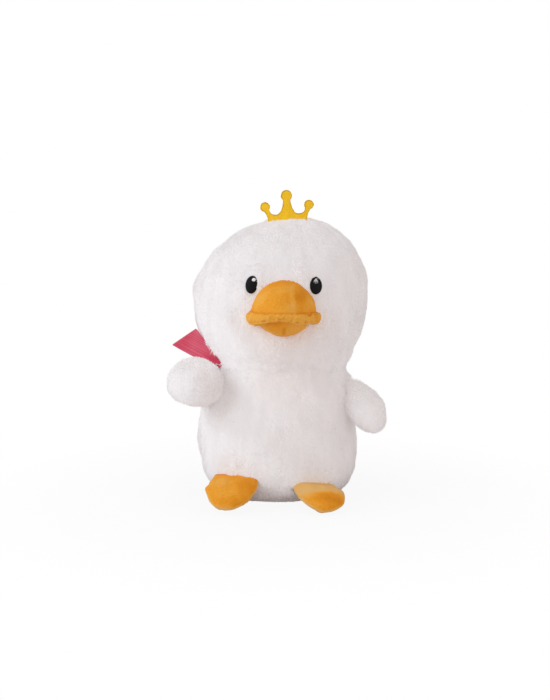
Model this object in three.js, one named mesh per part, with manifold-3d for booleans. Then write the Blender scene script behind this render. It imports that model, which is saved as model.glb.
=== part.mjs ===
// Stuffed toy duck that sits upright: a large round head on a barrel torso, two stubby wings,
// two flat feet, a padded bill, stitched eyes, a felt crown and a card on a thread loop.
// Millimetres, +Z up. The toy faces -Y and its own left side is +X.
// The origin is on the floor, in the middle of the flat base panel.
import * as THREE from 'three';
import { mergeVertices } from 'three/addons/utils/BufferGeometryUtils.js';
import Module from 'manifold-3d';

const wasm = await Module();
wasm.setup();

// Cloth and clearances
const plush = 2.5;             // plush backing with the pressed root of its pile
const velour = 1.6;            // short-pile cloth of the bill and the feet
const seat = 0.3;              // gap between two pieces that touch
const loft = 0.9;              // gap between a cover and the stuffing in it
const fillInset = plush + loft;
const floorTop = plush + seat; // what stands on the base panel starts here

// Seam between the torso and the head, which bulges over it
const neckHeight = 130;
const neckHalfWidth = 62;
const headOverhang = 2.7;

// Egg shapes: centre, half width, half depth, reach up and down, squareness of each end
const torso = {
  x: 0, z: 44, halfWidth: 76.5, halfDepth: 66, down: 51,
  powerUp: 2, powerDown: 3, lean: 0,
};
torso.up = reachThrough(torso.halfWidth, torso.powerUp, neckHalfWidth, neckHeight - torso.z);
const headRise = 67;           // from the neck seam to the widest part of the head
const head = {
  x: 3.2, z: neckHeight + headRise, halfWidth: 83, halfDepth: 70, up: 72.5,
  powerUp: 2.15, powerDown: 2, lean: 5.5,
};
head.down = reachThrough(head.halfWidth, head.powerDown, neckHalfWidth + headOverhang, headRise);
const eggSides = 40;
const eggRows = 22;
const fillSides = 24;
const fillRows = 14;

// Weighting bag that sits on the base panel
const bagBelly = 9;            // height of its fullest part over the panel
const bag = {
  x: 0, z: floorTop + bagBelly, halfWidth: 38, halfDepth: 33, up: 13, down: 12,
  powerUp: 2.4, powerDown: 2.4, lean: 0,
};

// Face, on a head that is turned a little to its left
const faceTurn = 2.7;          // degrees
const eyes = {
  spacing: 59.5, rise: 12,     // rise is measured from the widest part of the head
  width: 12.6, tall: 16.8,
  proud: 2.4,                  // of the stitching over the plush
  tilt: 7,                     // degrees that the tops lean inward
};
const glints = { width: 4.8, rise: 4.6, inward: 2, proud: 0.9 };

// Bill: a domed upper half, a padded lip roll and a lower half tucked under it
const mouthDrop = 17.5;        // from the widest part of the head
const billSink = 8;            // how far both halves start inside the plush
const upperBill = { halfWidth: 30.5, height: 34.5, length: 39 };
const lowerBill = { halfWidth: 24.5, height: 17, length: 31 };
const lip = {
  inset: 1,                    // middle line of the roll, inside the edge of the upper bill
  wrap: 8,                     // degrees that each end runs on past the widest part of the bill
  middle: 3.7, end: 5.6,       // radius in front and at the ends
  lift: 1.2, sag: 1.2,         // rise of the front and depth of the two waves beside it
};

// Felt crown, sewn upright a little in front of the top of the head and so much lower
const crown = {
  offset: 1.7, y: -15, lower: 1.4, tilt: 3.2, thickness: 2.6, halfBase: 18.5, skirt: 7,
  valley: { x: 11.2, y: 6.9 },
  hollow: 0.85,                // how squarely the sides of a prong curve down into a valley
  middleTip: { x: 0, y: 24.4, radius: 5.4, neck: 3.6 },
  sideTip: { x: 21.2, y: 14.6, radius: 4.7, neck: 2.7 },
};

// Wings, sewn pockets of one length, bent to a different pose on each side
const wing = {
  length: 52,
  slim: 0.08, fullest: 0.68,   // shares of the length where it starts to swell and is thickest
  nose: 4,                     // radius of the rounded edge that turns on the seam
  gap: 0.5,                    // between that edge and the torso's cover
  seamHalf: 15, seamTurn: 20,  // half length of the seam, and degrees forward of the side
  drop: 25,                    // from the neck seam to the middle of the wing's seam
};
// The raised one is stuffed fuller
const wingPoses = {
  wing_left: { side: 1, tip: [31, -22, -40], bend: 0.29, halfWidth: 18.5, halfThickness: 15 },
  wing_right: { side: -1, tip: [8, -50, 16], bend: 0.25, halfWidth: 21.2, halfThickness: 24.5 },
};

// Feet: flat pads sewn on along their straight back edge
const foot = {
  halfWidth: 24.5, length: 48, widest: 18, backEdge: 3, top: 8.5, sole: 4.5, rim: 1.2,
};
// Place of the back edge, height of the toe, degrees outward, and the travel of the toe
const footPoses = {
  foot_left: { x: 35, z: 20, toe: 2, turn: 9, lift: [-3, 50] },
  foot_right: { x: -40, z: 25.5, toe: 3.5, turn: -9, lift: [-5, 50] },
};

// Small tail at the back
const tail = {
  height: 34, length: 24, radius: 13, rise: 32,
  flat: 0.8,                   // thickness against width
  blunt: 0.8,                  // 1 for an oval end, less for a blunter one
  root: 10,                    // how far it starts inside the plush
};

// Card on a thread loop, sewn into the neck seam between the right wing and the head
const card = {
  thickness: 0.9, hole: 3.2, yaw: -18, lean: 4,
  clear: 2.5,                  // between its inner edge and the head
  corners: [[-47.6, 17], [-21.8, 34], [6.8, -0.8], [1, -5]],
};
// Thread: degrees round from the front, distance of the card's hole from the seam and over it,
// and how far the loop runs on into the seam
const loop = { thread: 0.9, turn: 59.5, out: 6.2, lift: 1, sunk: 2 };

const degrees = THREE.MathUtils.degToRad;

const colours = {
  white: [0xefedec, 0.95], fill: [0xf7f7f4, 1], orange: [0xe8992e, 0.85], black: [0x141416, 0.35],
  glint: [0xf4f4f4, 0.5], yellow: [0xf6ba22, 0.95], red: [0xd2405f, 0.35], thread: [0xf2f2f2, 0.6],
  canvas: [0xd9d2c2, 0.95],
};
const materials = {};
for (const [name, [color, roughness]] of Object.entries(colours)) {
  materials[name] = () => new THREE.MeshStandardMaterial({ color, roughness, metalness: 0 });
}

// Solid operations

function toSolid(geometry) {
  const bare = geometry.clone();
  bare.deleteAttribute('normal');
  bare.deleteAttribute('uv');
  const merged = mergeVertices(bare, 1e-4);
  const kept = [];
  const index = merged.index.array;
  for (let i = 0; i < index.length; i += 3) {
    const [a, b, c] = [index[i], index[i + 1], index[i + 2]];
    if (a !== b && b !== c && c !== a) kept.push(a, b, c);
  }
  const vertProperties = new Float32Array(merged.attributes.position.array);
  const mesh = new wasm.Mesh({ numProp: 3, vertProperties, triVerts: new Uint32Array(kept) });
  return new wasm.Manifold(mesh);
}

function toGeometry(solid) {
  const mesh = solid.getMesh();
  const geometry = new THREE.BufferGeometry();
  geometry.setAttribute('position', new THREE.BufferAttribute(new Float32Array(mesh.vertProperties), 3));
  geometry.setIndex(new THREE.BufferAttribute(new Uint32Array(mesh.triVerts), 1));
  geometry.computeVertexNormals();
  return geometry;
}

// Space between two heights, far wider than the toy
function slab(low, high) {
  const wide = 4 * head.halfWidth;
  const box = new THREE.BoxGeometry(wide, wide, high - low);
  box.translate(0, 0, (low + high) / 2);
  return toSolid(box);
}

// Closed solid through rings of points, ended by one point at each end
function skin(rings, first, last) {
  const sides = rings[0].length;
  const points = [first, ...rings.flat(), last];
  const end = points.length - 1;
  const faces = [];
  const at = (row, side) => 1 + row * sides + (side % sides);
  for (let side = 0; side < sides; side += 1) {
    faces.push(0, at(0, side + 1), at(0, side));
    faces.push(end, at(rings.length - 1, side), at(rings.length - 1, side + 1));
    for (let row = 0; row < rings.length - 1; row += 1) {
      faces.push(at(row, side), at(row, side + 1), at(row + 1, side + 1));
      faces.push(at(row, side), at(row + 1, side + 1), at(row + 1, side));
    }
  }
  const geometry = new THREE.BufferGeometry().setFromPoints(points);
  geometry.setIndex(faces);
  return outward(geometry);
}

// Turns the faces round if they point inward
function outward(geometry) {
  const p = geometry.attributes.position;
  const index = geometry.index.array;
  const [a, b, c] = [new THREE.Vector3(), new THREE.Vector3(), new THREE.Vector3()];
  let volume = 0;
  for (let i = 0; i < index.length; i += 3) {
    a.fromBufferAttribute(p, index[i]);
    b.fromBufferAttribute(p, index[i + 1]);
    c.fromBufferAttribute(p, index[i + 2]);
    volume += a.dot(b.cross(c));
  }
  if (volume < 0) {
    for (let i = 0; i < index.length; i += 3) {
      [index[i], index[i + 1]] = [index[i + 1], index[i]];
    }
  }
  return geometry;
}

// Egg of revolution, flattened front to back, grown or shrunk by a distance
function egg(form, grow = 0, sides = eggSides, rows = eggRows) {
  const profile = [];
  for (let row = 0; row <= rows; row += 1) {
    const angle = Math.PI * (row / rows - 0.5);
    const above = angle > 0;
    const power = 2 / (above ? form.powerUp : form.powerDown);
    const reach = (above ? form.up : form.down) + grow;
    const radius = (form.halfWidth + grow) * Math.max(0, Math.cos(angle)) ** power;
    const height = Math.sign(angle) * reach * Math.abs(Math.sin(angle)) ** power;
    profile.push(new THREE.Vector2(row % rows === 0 ? 0 : radius, height));
  }
  const geometry = new THREE.LatheGeometry(profile, sides);
  geometry.rotateX(Math.PI / 2);
  geometry.scale(1, (form.halfDepth + grow) / (form.halfWidth + grow), 1);
  const p = geometry.attributes.position;
  for (let i = 0; i < p.count; i += 1) {
    const up = Math.max(0, p.getZ(i)) / form.up;
    p.setX(i, p.getX(i) + form.lean * up * up);
  }
  geometry.translate(form.x, 0, form.z);
  const indexed = mergeVertices(geometry.deleteAttribute('normal').deleteAttribute('uv'), 1e-4);
  return toSolid(outward(indexed));
}

// Reach of an egg's end that makes it a given half width at a distance from its widest part
function reachThrough(halfWidth, power, halfThere, distance) {
  return distance / (1 - (halfThere / halfWidth) ** power) ** (1 / power);
}

// Half width of an egg at a height
function girth(form, z, grow = 0) {
  const above = z > form.z;
  const power = above ? form.powerUp : form.powerDown;
  const reach = (above ? form.up : form.down) + grow;
  const part = Math.abs(z - form.z) / reach;
  return (form.halfWidth + grow) * (1 - part ** power) ** (1 / power);
}

// Point on an egg at a height and a turn from straight ahead, with the outward direction there
function surfacePoint(form, z, turn, grow = 0) {
  const wide = girth(form, z, grow);
  const deep = (wide * form.halfDepth) / form.halfWidth;
  const up = Math.max(0, z - form.z) / form.up;
  const point = new THREE.Vector3(wide * Math.sin(turn), -deep * Math.cos(turn), z);
  const step = 0.5;
  const slope = (girth(form, z + step, grow) - girth(form, z - step, grow)) / (2 * step);
  const normal = new THREE.Vector3(point.x / wide ** 2, point.y / deep ** 2, 0).normalize();
  normal.z = -slope;
  point.x += form.x + form.lean * up * up;
  return { point, normal: normal.normalize() };
}

// Torso, base and what they hold

const torsoOuter = egg(torso);
const torsoRoom = egg(torso, seat);
const headOuter = egg(head);
const headRoom = egg(head, seat);

function bodyCover() {
  const shell = torsoOuter.subtract(egg(torso, -plush));
  return shell.intersect(slab(0, neckHeight - seat / 2));
}

function basePanel() {
  return egg(torso, -plush - seat).intersect(slab(0, plush));
}

function pelletBag() {
  return egg(bag, 0, fillSides, fillRows).intersect(slab(floorTop, neckHeight));
}

function bodyStuffing() {
  const inside = egg(torso, -fillInset, fillSides, fillRows);
  const room = inside.intersect(slab(floorTop, neckHeight - seat / 2));
  return room.subtract(egg(bag, seat, fillSides, fillRows));
}

function headCover() {
  const shell = headOuter.subtract(egg(head, -plush));
  return shell.intersect(slab(neckHeight + seat / 2, head.z + 2 * head.up));
}

function headStuffing() {
  const inside = egg(head, -fillInset, fillSides, fillRows);
  return inside.intersect(slab(neckHeight + seat / 2, head.z + 2 * head.up));
}

// Face pieces are made straight ahead and turned with the face

const faceMatrix = new THREE.Matrix4()
  .makeTranslation(head.x, 0, 0)
  .multiply(new THREE.Matrix4().makeRotationZ(degrees(faceTurn)));
const eyeHeight = head.z + eyes.rise;
const mouthHeight = head.z - mouthDrop;
const billRoot = head.halfDepth - billSink;

// Ball squeezed to three half sizes, moved and turned by a matrix
function ball(halfX, halfY, halfZ, matrix, across = 18, along = 10) {
  const geometry = new THREE.SphereGeometry(1, across, along);
  geometry.scale(halfX, halfY, halfZ);
  geometry.applyMatrix4(matrix);
  return toSolid(geometry);
}

function eyeMatrix(side) {
  const wide = girth(head, eyeHeight);
  const turn = Math.asin(eyes.spacing / 2 / wide) * side;
  const { point, normal } = surfacePoint({ ...head, x: 0, lean: 0 }, eyeHeight, turn);
  const back = normal.clone().negate();
  const right = new THREE.Vector3().crossVectors(back, new THREE.Vector3(0, 0, 1)).normalize();
  const up = new THREE.Vector3().crossVectors(right, back).normalize();
  const basis = new THREE.Matrix4().makeBasis(right, back, up);
  const tilt = new THREE.Matrix4().makeRotationY(degrees(-eyes.tilt * side));
  return faceMatrix.clone()
    .multiply(new THREE.Matrix4().makeTranslation(point.x, point.y, point.z))
    .multiply(basis)
    .multiply(tilt);
}

function eyeBall(side, grow = 0) {
  return ball(eyes.width / 2 + grow, eyes.proud + grow, eyes.tall / 2 + grow, eyeMatrix(side));
}

function eye(side) {
  return eyeBall(side).subtract(headRoom);
}

function glint(side) {
  const half = glints.width / 2;
  const { inward, rise } = glints;
  const spot = new THREE.Matrix4().makeTranslation(-inward * side, seat - eyes.proud, rise);
  const disc = ball(half, glints.proud, half, eyeMatrix(side).multiply(spot), 12, 8);
  return disc.subtract(eyeBall(side, seat));
}

// Half of the bill: an egg whose upper or lower half is kept, shrunk by the cloth where asked
function billHalf(form, shrink) {
  const middle = new THREE.Matrix4().makeTranslation(0, -billRoot, mouthHeight);
  const matrix = faceMatrix.clone().multiply(middle);
  const [across, along, up] = [form.halfWidth, form.length, form.height];
  return ball(across - shrink, along - shrink, up - shrink, matrix, 24, 16);
}

// The lip roll follows half an oval round the bill and waves up and down a little
class LipCurve extends THREE.Curve {
  getPoint(part, target = new THREE.Vector3()) {
    const angle = degrees((180 + 2 * lip.wrap) * part - lip.wrap);
    const x = -Math.cos(angle) * (upperBill.halfWidth - lip.inset);
    const y = -billRoot - Math.sin(angle) * (upperBill.length - lip.inset);
    const wave = lip.lift * Math.sin(angle) ** 2 - lip.sag * Math.sin(2 * angle) ** 2;
    return target.set(x, y, mouthHeight + wave);
  }
}

function lipTube(grow = 0) {
  const curve = new LipCurve();
  const rows = 22;
  const sides = 10;
  const rings = [];
  for (let row = 0; row <= rows; row += 1) {
    const part = row / rows;
    const centre = curve.getPoint(part);
    const along = curve.getTangent(part);
    const across = new THREE.Vector3(along.y, -along.x, 0).normalize();
    const up = new THREE.Vector3().crossVectors(along, across).normalize();
    const fullness = Math.abs(2 * part - 1) ** 3;
    const radius = THREE.MathUtils.lerp(lip.middle, lip.end, fullness) + grow;
    const ring = [];
    for (let side = 0; side < sides; side += 1) {
      const angle = (2 * Math.PI * side) / sides;
      const point = centre.clone().addScaledVector(across, radius * Math.cos(angle));
      ring.push(point.addScaledVector(up, radius * Math.sin(angle)));
    }
    rings.push(ring);
  }
  const geometry = skin(rings, curve.getPoint(0), curve.getPoint(1));
  return toSolid(geometry.applyMatrix4(faceMatrix));
}

const lipRoom = lipTube(seat);

function billLip() {
  return lipTube().subtract(headRoom);
}

const aboveMouth = slab(mouthHeight + seat / 2, mouthHeight + head.up);
const belowMouth = slab(mouthHeight - head.up, mouthHeight - seat / 2);

function billCloth(form, half) {
  const shell = billHalf(form, 0).subtract(billHalf(form, velour));
  return shell.intersect(half).subtract(lipRoom).subtract(headRoom);
}

function billStuffing(form, half) {
  const inside = billHalf(form, velour + loft);
  return inside.intersect(half).subtract(lipRoom).subtract(headRoom);
}

function onCircle(circle, angle) {
  return {
    x: circle.x + circle.radius * Math.cos(angle),
    y: circle.y + circle.radius * Math.sin(angle),
  };
}

// Crown outline: balls on three prongs, traced from left to right over a straight foot
function crownShape() {
  const shape = new THREE.Shape();
  const { middleTip, sideTip, valley, hollow, halfBase, skirt } = crown;
  const tips = [
    { ...sideTip, x: -sideTip.x, root: -halfBase + sideTip.neck },
    { ...middleTip, root: 0 },
    { ...sideTip, root: halfBase - sideTip.neck },
  ];
  shape.moveTo(-halfBase, -skirt);
  shape.lineTo(-halfBase, 0);
  tips.forEach((tip, i) => {
    const towardRoot = Math.atan2(-tip.y, tip.root - tip.x);
    const spread = Math.asin(tip.neck / tip.radius);
    const [from, to] = [towardRoot - spread, towardRoot + spread];
    const start = onCircle(tip, from);
    if (i > 0) {
      const bendX = THREE.MathUtils.lerp(valley.x * (2 * i - 3), start.x, hollow);
      shape.quadraticCurveTo(bendX, valley.y, start.x, start.y);
    }
    shape.absarc(tip.x, tip.y, tip.radius, from, to, true);
    if (i < 2) {
      const low = valley.x * (2 * i - 1);
      const bendX = THREE.MathUtils.lerp(low, onCircle(tip, to).x, hollow);
      shape.quadraticCurveTo(bendX, valley.y, low, valley.y);
    }
  });
  shape.lineTo(halfBase, 0);
  shape.lineTo(halfBase, -skirt);
  shape.closePath();
  return shape;
}

function feltCrown() {
  const flat = { depth: crown.thickness, bevelEnabled: false, curveSegments: 8 };
  const geometry = new THREE.ExtrudeGeometry(crownShape(), flat);
  geometry.translate(0, 0, -crown.thickness / 2);
  geometry.rotateX(Math.PI / 2);
  geometry.rotateY(-degrees(crown.tilt));
  const foot = head.z + head.up - crown.lower;
  geometry.translate(head.x + head.lean + crown.offset, crown.y, foot);
  return toSolid(geometry).subtract(headRoom);
}

// Wings

const noseShare = wing.nose / wing.length;
const noseBlunt = 0.55;        // thickness of the nose's flat front against its full thickness
const wingSides = 18;
const wingRows = 12;
const wingParts = [];
for (let row = 0; row < wingRows; row += 1) {
  const angle = (Math.PI / 2) * (row / wingRows);
  wingParts.push((1 + noseShare) * Math.sin(angle) - noseShare);
}

// Sewn edge of a wing: a point off the torso, the direction of the seam and the way out
function wingSeam(side) {
  const turn = side * (Math.PI / 2 - degrees(wing.seamTurn));
  const { point, normal } = surfacePoint(torso, neckHeight - wing.drop, turn);
  const level = new THREE.Vector3(-normal.y, normal.x, 0).normalize();
  const along = new THREE.Vector3().crossVectors(normal, level).normalize();
  if (along.z < 0) along.negate();
  return { point: point.addScaledVector(normal, wing.nose + wing.gap), along, out: normal };
}

// Closed form through sections at the given shares of the wing's length
function wingForm(pose, inset, parts) {
  const seam = wingSeam(pose.side);
  const reach = new THREE.Vector3(pose.tip[0] * pose.side, pose.tip[1], pose.tip[2]);
  const end = seam.point.clone().add(reach.setLength(wing.length - inset));
  const bend = seam.point.clone().addScaledVector(seam.out, wing.length * pose.bend);
  const spine = new THREE.QuadraticBezierCurve3(seam.point, bend, end);
  const ringAt = (part) => {
    const clamped = Math.max(0, part);
    const centre = spine.getPoint(clamped);
    const along = spine.getTangent(clamped);
    if (part < 0) centre.addScaledVector(along, part * wing.length);
    const thick = new THREE.Vector3().crossVectors(along, seam.along).normalize();
    const wide = new THREE.Vector3().crossVectors(thick, along).normalize();
    const { halfWidth, halfThickness } = wingSection(pose, part, inset);
    const ring = [];
    for (let side = 0; side < wingSides; side += 1) {
      const angle = (2 * Math.PI * side) / wingSides;
      const point = centre.clone().addScaledVector(wide, halfWidth * Math.cos(angle));
      ring.push(point.addScaledVector(thick, halfThickness * Math.sin(angle)));
    }
    return ring;
  };
  const rings = parts.map(ringAt);
  return toSolid(skin(rings, middleOf(rings[0]), end));
}

function middleOf(points) {
  return points.reduce((sum, point) => sum.add(point), new THREE.Vector3()).divideScalar(points.length);
}

// Half sizes of a wing's section: a blunt nose at the seam, fullest past the middle, a round tip
function wingSection(pose, part, inset) {
  const thinnest = 0.4;
  const swell = THREE.MathUtils.smoothstep(part, wing.slim, wing.fullest);
  const past = Math.max(0, (part - wing.fullest) / (1 - wing.fullest));
  const round = Math.sqrt(Math.max(0, 1 - past ** 2));
  const blunt = part < 0 ? noseBlunt : 1;
  const wide = THREE.MathUtils.lerp(wing.seamHalf, pose.halfWidth, swell) * round;
  const thick = THREE.MathUtils.lerp(wing.nose, pose.halfThickness, swell) * round * blunt;
  return {
    halfWidth: Math.max(thinnest, wide - inset),
    halfThickness: Math.max(thinnest, thick - inset),
  };
}

function wingCover(pose) {
  const inner = wingForm(pose, plush, [-2 * noseShare, ...wingParts]);
  return wingForm(pose, 0, wingParts).subtract(inner);
}

function wingStuffing(pose) {
  return wingForm(pose, fillInset, wingParts.filter((part) => part > 0));
}

// Feet

// Pad in its own frame: the back edge along X, the toe towards -Y, its top towards +Z
function footPad(inset, sides = 22) {
  const { halfWidth, length, widest, backEdge, rim } = foot;
  const halfLength = length - widest;
  const centre = new THREE.Vector3(0, -widest, 0);
  const rows = [1, 0.95, 0.78, 0.45];
  const ring = (scale, height) => {
    const points = [];
    for (let side = 0; side < sides; side += 1) {
      const angle = (2 * Math.PI * side) / sides;
      const oval = 1 / Math.hypot(Math.cos(angle) / halfWidth, Math.sin(angle) / halfLength);
      const toBack = Math.sin(angle) > 0 ? (widest + backEdge) / Math.sin(angle) : Infinity;
      const reach = (Math.min(oval, toBack) - inset) * scale;
      const point = new THREE.Vector3(Math.cos(angle) * reach, Math.sin(angle) * reach, height);
      points.push(point.add(centre));
    }
    return points;
  };
  const roundness = 0.6;
  const puff = (scale, thickness) => {
    const full = rim + (thickness - rim) * (1 - scale ** 2) ** roundness;
    return Math.max(seat, full - inset);
  };
  const above = rows.map((scale) => ring(scale, puff(scale, foot.top)));
  const below = rows.map((scale) => ring(scale, -puff(scale, foot.sole)));
  const rings = [...below.reverse(), ...above];
  const lowest = centre.clone().setZ(-(foot.sole - inset));
  const highest = centre.clone().setZ(foot.top - inset);
  return toSolid(skin(rings, lowest, highest));
}

// Frame of a foot: on the torso at its height, turned outward and sloping until the toe is
// at its own height
function footMatrix(pose) {
  const wide = girth(torso, pose.z);
  const turn = Math.asin(pose.x / wide);
  const { point } = surfacePoint(torso, pose.z, turn);
  const slope = Math.asin((pose.z - pose.toe - 1.5 * foot.rim) / foot.length);
  return new THREE.Matrix4().makeTranslation(point.x, point.y - seat, point.z)
    .multiply(new THREE.Matrix4().makeRotationZ(degrees(pose.turn)))
    .multiply(new THREE.Matrix4().makeRotationX(slope));
}

// What the torso takes from a foot over the whole of the foot's travel
function footRoom(pose, matrix) {
  const cuts = [0, pose.lift[0], pose.lift[1] / 2, pose.lift[1]].map((angle) => {
    const lifted = new THREE.Matrix4().makeRotationX(degrees(-angle));
    return torsoRoom.transform(matrix.clone().multiply(lifted).invert().elements);
  });
  return cuts.reduce((sum, cut) => sum.add(cut));
}

function footPieces(pose) {
  const matrix = footMatrix(pose);
  const room = footRoom(pose, matrix);
  const pad = footPad(0).subtract(footPad(velour)).subtract(room);
  const place = (solid) => solid.transform(matrix.elements);
  return {
    upper: place(pad.intersect(slab(seat / 2, 4 * foot.top))),
    sole: place(pad.intersect(slab(-4 * foot.sole, -seat / 2))),
    stuffing: place(footPad(velour + loft).subtract(room)),
  };
}

// Tail: a short blunt stub

function tailForm(inset, start) {
  const { point, normal } = surfacePoint(torso, tail.height, Math.PI);
  const level = new THREE.Vector3(0, normal.y, 0).normalize();
  const lift = degrees(tail.rise);
  const along = level.multiplyScalar(Math.cos(lift)).add(new THREE.Vector3(0, 0, Math.sin(lift)));
  const up = new THREE.Vector3().crossVectors(new THREE.Vector3(1, 0, 0), along).normalize();
  const rings = [];
  const rows = 8;
  const sides = 14;
  const reach = tail.length - inset;
  for (let row = 0; row < rows; row += 1) {
    const angle = (Math.PI / 2) * (row / rows);
    const radius = (tail.radius - inset) * Math.cos(angle) ** tail.blunt;
    const centre = point.clone().addScaledVector(along, start + (reach - start) * Math.sin(angle));
    const ring = [];
    for (let side = 0; side < sides; side += 1) {
      const turn = (2 * Math.PI * side) / sides;
      const spot = centre.clone().addScaledVector(up, tail.flat * radius * Math.sin(turn));
      ring.push(spot.add(new THREE.Vector3(radius * Math.cos(turn), 0, 0)));
    }
    rings.push(ring);
  }
  const root = point.clone().addScaledVector(along, start);
  const end = point.clone().addScaledVector(along, reach);
  return toSolid(skin(rings, root, end));
}

function tailPieces() {
  const shell = tailForm(0, -tail.root).subtract(tailForm(plush, -tail.root - plush));
  return {
    cover: shell.subtract(torsoRoom),
    stuffing: tailForm(fillInset, -tail.root).subtract(torsoRoom),
  };
}

// Card and its loop

// The card hangs on the loop, so the thread lies against the top of the hole
function tagCard() {
  const outline = new THREE.Shape(card.corners.map(([x, y]) => new THREE.Vector2(x, y)));
  const play = card.hole / 2 - loop.thread / 2 - seat;
  const hole = new THREE.Path().absarc(0, -play, card.hole / 2, 0, 2 * Math.PI, false);
  outline.holes.push(hole);
  const flat = { depth: card.thickness, bevelEnabled: false, curveSegments: 8 };
  const geometry = new THREE.ExtrudeGeometry(outline, flat);
  geometry.translate(0, 0, -card.thickness / 2);
  geometry.rotateX(Math.PI / 2);
  return toSolid(geometry).transform(cardMatrix().elements);
}

// Surface of the head on its right side, at a depth and a height
function headSide(y, z) {
  const wide = girth(head, z);
  const deep = (wide * head.halfDepth) / head.halfWidth;
  return head.x - wide * Math.sqrt(1 - (y / deep) ** 2);
}

// How far the card leans out, so that its inner edge clears the head
function cardRoll(hole) {
  const [, outerCorner, innerCorner] = card.corners;
  const yaw = degrees(card.yaw);
  const needed = [0.25, 0.5, 0.75, 1].map((share) => {
    const x = THREE.MathUtils.lerp(innerCorner[0], outerCorner[0], share);
    const z = THREE.MathUtils.lerp(innerCorner[1], outerCorner[1], share);
    const side = headSide(hole.y + x * Math.sin(yaw), hole.z + z) - card.clear;
    return Math.acos((side - hole.x) / Math.cos(yaw) / Math.hypot(x, z)) - Math.atan2(z, x);
  });
  return Math.max(...needed);
}

// Frame of the card: the thread passes through its origin, out from the neck seam
function cardMatrix() {
  const { point, normal } = surfacePoint(torso, neckHeight, -degrees(loop.turn));
  const hole = point.addScaledVector(normal.setZ(0).normalize(), loop.out);
  hole.z += loop.lift;
  return new THREE.Matrix4().makeTranslation(hole.x, hole.y, hole.z)
    .multiply(new THREE.Matrix4().makeRotationZ(degrees(card.yaw)))
    .multiply(new THREE.Matrix4().makeRotationX(degrees(-card.lean)))
    .multiply(new THREE.Matrix4().makeRotationY(-cardRoll(hole)));
}

// A level ring through the hole, cut off where it goes into the seam
function tagLoop() {
  const inward = degrees(90 - loop.turn - card.yaw);
  const radius = (loop.out / Math.cos(inward) + loop.sunk) / 2;
  const geometry = new THREE.TorusGeometry(radius, loop.thread / 2, 6, 20);
  geometry.translate(radius, 0, 0);
  const ring = toSolid(geometry.applyMatrix4(cardMatrix()));
  return ring.subtract(torsoRoom).subtract(headRoom);
}

// Assembly

const toy = new THREE.Group();

function addPiece(name, solid, material) {
  const mesh = new THREE.Mesh(toGeometry(solid), materials[material]());
  mesh.name = name;
  toy.add(mesh);
}

addPiece('body_cover', bodyCover(), 'white');
addPiece('base_panel', basePanel(), 'white');
addPiece('body_stuffing', bodyStuffing(), 'fill');
addPiece('pellet_bag', pelletBag(), 'canvas');
addPiece('head_cover', headCover(), 'white');
addPiece('head_stuffing', headStuffing(), 'fill');

for (const [side, name] of [[1, 'left'], [-1, 'right']]) {
  addPiece(`eye_${name}`, eye(side), 'black');
  addPiece(`eye_glint_${name}`, glint(side), 'glint');
}

addPiece('upper_bill', billCloth(upperBill, aboveMouth), 'orange');
addPiece('upper_bill_stuffing', billStuffing(upperBill, aboveMouth), 'fill');
addPiece('bill_lip', billLip(), 'orange');
addPiece('lower_bill', billCloth(lowerBill, belowMouth), 'orange');
addPiece('lower_bill_stuffing', billStuffing(lowerBill, belowMouth), 'fill');
addPiece('crown', feltCrown(), 'yellow');

for (const [name, pose] of Object.entries(wingPoses)) {
  addPiece(`${name}_cover`, wingCover(pose), 'white');
  addPiece(`${name}_stuffing`, wingStuffing(pose), 'fill');
}

for (const [name, pose] of Object.entries(footPoses)) {
  const pieces = footPieces(pose);
  addPiece(`${name}_upper`, pieces.upper, 'orange');
  addPiece(`${name}_sole`, pieces.sole, 'orange');
  addPiece(`${name}_stuffing`, pieces.stuffing, 'fill');
}

const tailParts = tailPieces();
addPiece('tail_cover', tailParts.cover, 'white');
addPiece('tail_stuffing', tailParts.stuffing, 'fill');
addPiece('hang_tag', tagCard(), 'red');
addPiece('tag_loop', tagLoop(), 'thread');

export default toy;
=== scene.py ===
"""Looks of the stuffed toy duck: fur, velour, felt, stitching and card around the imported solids."""
import math

import bpy
import numpy as np
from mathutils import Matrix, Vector
from mathutils.geometry import delaunay_2d_cdt


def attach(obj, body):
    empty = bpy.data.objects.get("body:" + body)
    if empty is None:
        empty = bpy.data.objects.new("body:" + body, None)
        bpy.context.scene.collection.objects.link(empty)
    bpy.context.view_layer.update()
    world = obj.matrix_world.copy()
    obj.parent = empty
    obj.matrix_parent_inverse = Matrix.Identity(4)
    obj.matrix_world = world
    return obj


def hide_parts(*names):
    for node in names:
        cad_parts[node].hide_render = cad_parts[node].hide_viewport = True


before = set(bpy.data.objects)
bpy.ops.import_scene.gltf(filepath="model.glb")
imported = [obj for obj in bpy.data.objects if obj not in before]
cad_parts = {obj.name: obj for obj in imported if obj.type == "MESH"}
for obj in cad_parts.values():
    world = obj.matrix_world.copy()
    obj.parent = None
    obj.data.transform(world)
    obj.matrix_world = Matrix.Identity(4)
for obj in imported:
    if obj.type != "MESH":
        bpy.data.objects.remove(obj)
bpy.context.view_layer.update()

RANDOM = np.random.default_rng(11)
MM = 0.001
AHEAD, LEFT, UP = (0.0, -1.0, 0.0), (1.0, 0.0, 0.0), (0.0, 0.0, 1.0)

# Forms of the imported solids, in millimetres

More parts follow.
